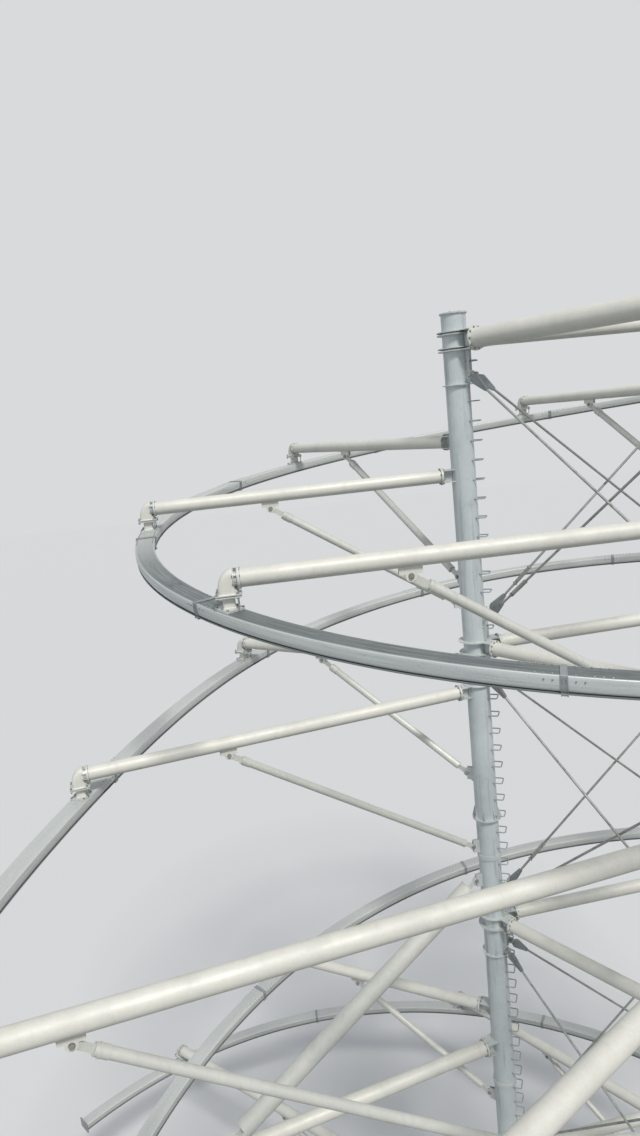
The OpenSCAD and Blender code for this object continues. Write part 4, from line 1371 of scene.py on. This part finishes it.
@dataclass
class StepIrons:
    """The climbing irons up column 1: bent round bars with weld pads."""

    first: float = 0.6
    pitch: float = 0.3
    width: float = 0.22
    out: float = 0.13
    bar: float = 0.02
    bend: float = 0.03
    pad: float = 0.004
    beam_clear: float = 0.04
    lug_clear: float = 0.116

    def heights(self) -> list[float]:
        """Heights of the irons, as in the part's source, clear of the joints and rod lugs."""
        found, z = [], self.first
        while z <= TOWER.top - self.pitch / 2:
            gaps = []
            for k in range(TOWER.bays + 1):
                d = z - TOWER.level(k)
                gaps += [abs(d) - TOWER.beam_d / 2 - self.beam_clear,
                         abs(d - TOWER.lug_rise) - self.lug_clear,
                         abs(d + TOWER.lug_rise) - self.lug_clear]
            if min(gaps) > 0:
                found.append(z)
            z += self.pitch
        return found

    def build(self) -> None:
        """Bends one bar with rounded corners and repeats it up the column."""
        r, c = self.bar / 2, self.bend
        half, far = self.width / 2 - r, TOWER.column_r + self.out - r
        root = math.sqrt(TOWER.column_r ** 2 - half ** 2)
        a = np.radians(np.linspace(0, 90, 6))
        arc = np.stack([far - c + c * np.sin(a), -half + c - c * np.cos(a), np.zeros(6)], -1)
        left = np.concatenate([[[root - 0.01, -half, 0], [root + 0.03, -half, 0]], arc])
        line = np.concatenate([left, (left * [1, -1, 1])[::-1]])
        feet = Spots.along([[root + 0.003, -half, 0], [root + 0.003, half, 0]], X)
        iron = joined([piped(line, r), bead(r, self.pad, 10).placed(feet.frames())])
        u = polar(1.0, TOWER.turn)
        places = np.array([level_frame(u, z * Z) for z in self.heights()])
        made("step_bars", iron.placed(places), Finish.STEP, "step_zinc", ["step_irons"], sharp=50)


# Camera, light and floor


@dataclass(frozen=True)
class Lamp:
    """A sun lamp: its strength, its spread in degrees, the way towards it and its colour."""

    name: str
    power: float
    spread: float
    direction: Triple
    colour: Triple


@dataclass(frozen=True)
class Stage:
    """Camera at the photograph's viewing angle, soft light, pale floor and pale backdrop."""

    eye: Triple = (-2.40, -12.27, 18.9)
    pitch: float = 10.9
    roll: float = 6.0
    focal_px: float = 780.0
    tall_px: float = 1136.0
    film: float = 36.0
    pale: Triple = (0.69, 0.70, 0.715)
    sky: Triple = (0.88, 0.93, 1.0)
    sky_power: float = 0.36
    ground: Triple = (0.70, 0.71, 0.722)
    bounce: Triple = (0.3, 0.3, 0.29)
    floor_half: float = 160.0
    floor_z: float = -0.002
    lamps: tuple[Lamp, ...] = (
        Lamp("key", 2.45, 12.0, (0.26, -0.66, 0.9), (1.0, 0.98, 0.94)),
        Lamp("fill", 0.2, 60.0, (-0.8, -0.4, 0.3), (0.92, 0.96, 1.0)),
    )

    def camera(self) -> None:
        """Camera that looks along +Y, pitched down and rolled, with the photograph's focal
        length."""
        p, r = math.radians(self.pitch), math.radians(self.roll)
        up = np.array([0, math.sin(p), math.cos(p)])
        data = bpy.data.cameras.new("view")
        data.sensor_fit = "VERTICAL"
        data.sensor_height = self.film
        data.lens = self.focal_px / self.tall_px * self.film
        data.clip_end = 2000.0
        camera = shown("view", data)
        c, s = math.cos(r), math.sin(r)
        camera.matrix_world = Matrix(framed(c * X - s * up, s * X + c * up, self.eye).tolist())
        bpy.context.scene.camera = camera

    def light(self) -> None:
        """A soft key light from the upper right front, a weak fill, and an even sky."""
        for lamp in self.lamps:
            data = bpy.data.lights.new(lamp.name, "SUN")
            data.energy, data.color = lamp.power, lamp.colour
            data.angle = math.radians(lamp.spread)
            turn = Spots.along(0 * Z, lamp.direction).frames()[0]
            shown(lamp.name, data).matrix_world = Matrix(turn.tolist())
        world = bpy.data.worlds.new("sky")
        bpy.context.scene.world = world
        g = Graph(world)
        lit = [self.sky_power * c for c in self.sky]
        g.put(g.tree.nodes["Background"], "Color", g.mix(g.seen(), (*lit, 1.0), (*self.pale, 1.0)))

    def floor(self) -> None:
        """A wide flat pale floor just under the base plates."""
        mesh, s = bpy.data.meshes.new("floor"), self.floor_half
        corners = [(x * s, y * s, self.floor_z) for x, y in ((-1, -1), (1, -1), (1, 1), (-1, 1))]
        mesh.from_pydata(corners, [], [(0, 1, 2, 3)])
        g = Graph(bpy.data.materials.new("floor_pale"))
        g.put(g.shader, "Base Color", g.mix(g.seen(), (*self.bounce, 1.0), (*self.ground, 1.0)))
        g.put(g.shader, "Roughness", 0.9)
        mesh.materials.append(g.owner)
        shown("floor", mesh)

    def build(self) -> None:
        """Sets the scene up and leaves colour management plain."""
        bpy.context.scene.view_settings.view_transform = "Standard"
        self.camera()
        self.light()
        self.floor()


def main() -> None:
    """Builds the stage and the sub-assemblies in order."""
    logging.basicConfig(level=logging.INFO, format="%(name)s: %(message)s")
    Stage().build()
    SolidFrame(frame["nodes"], frame["record"]["subparts"]).dress()
    for part in (Rail(), Hangers(), StepIrons(), Fastenings(), RodEnds(), ColumnTrim()):
        LOG.info("building %s", type(part).__name__)
        part.build()


if __name__ == "__main__":
    main()
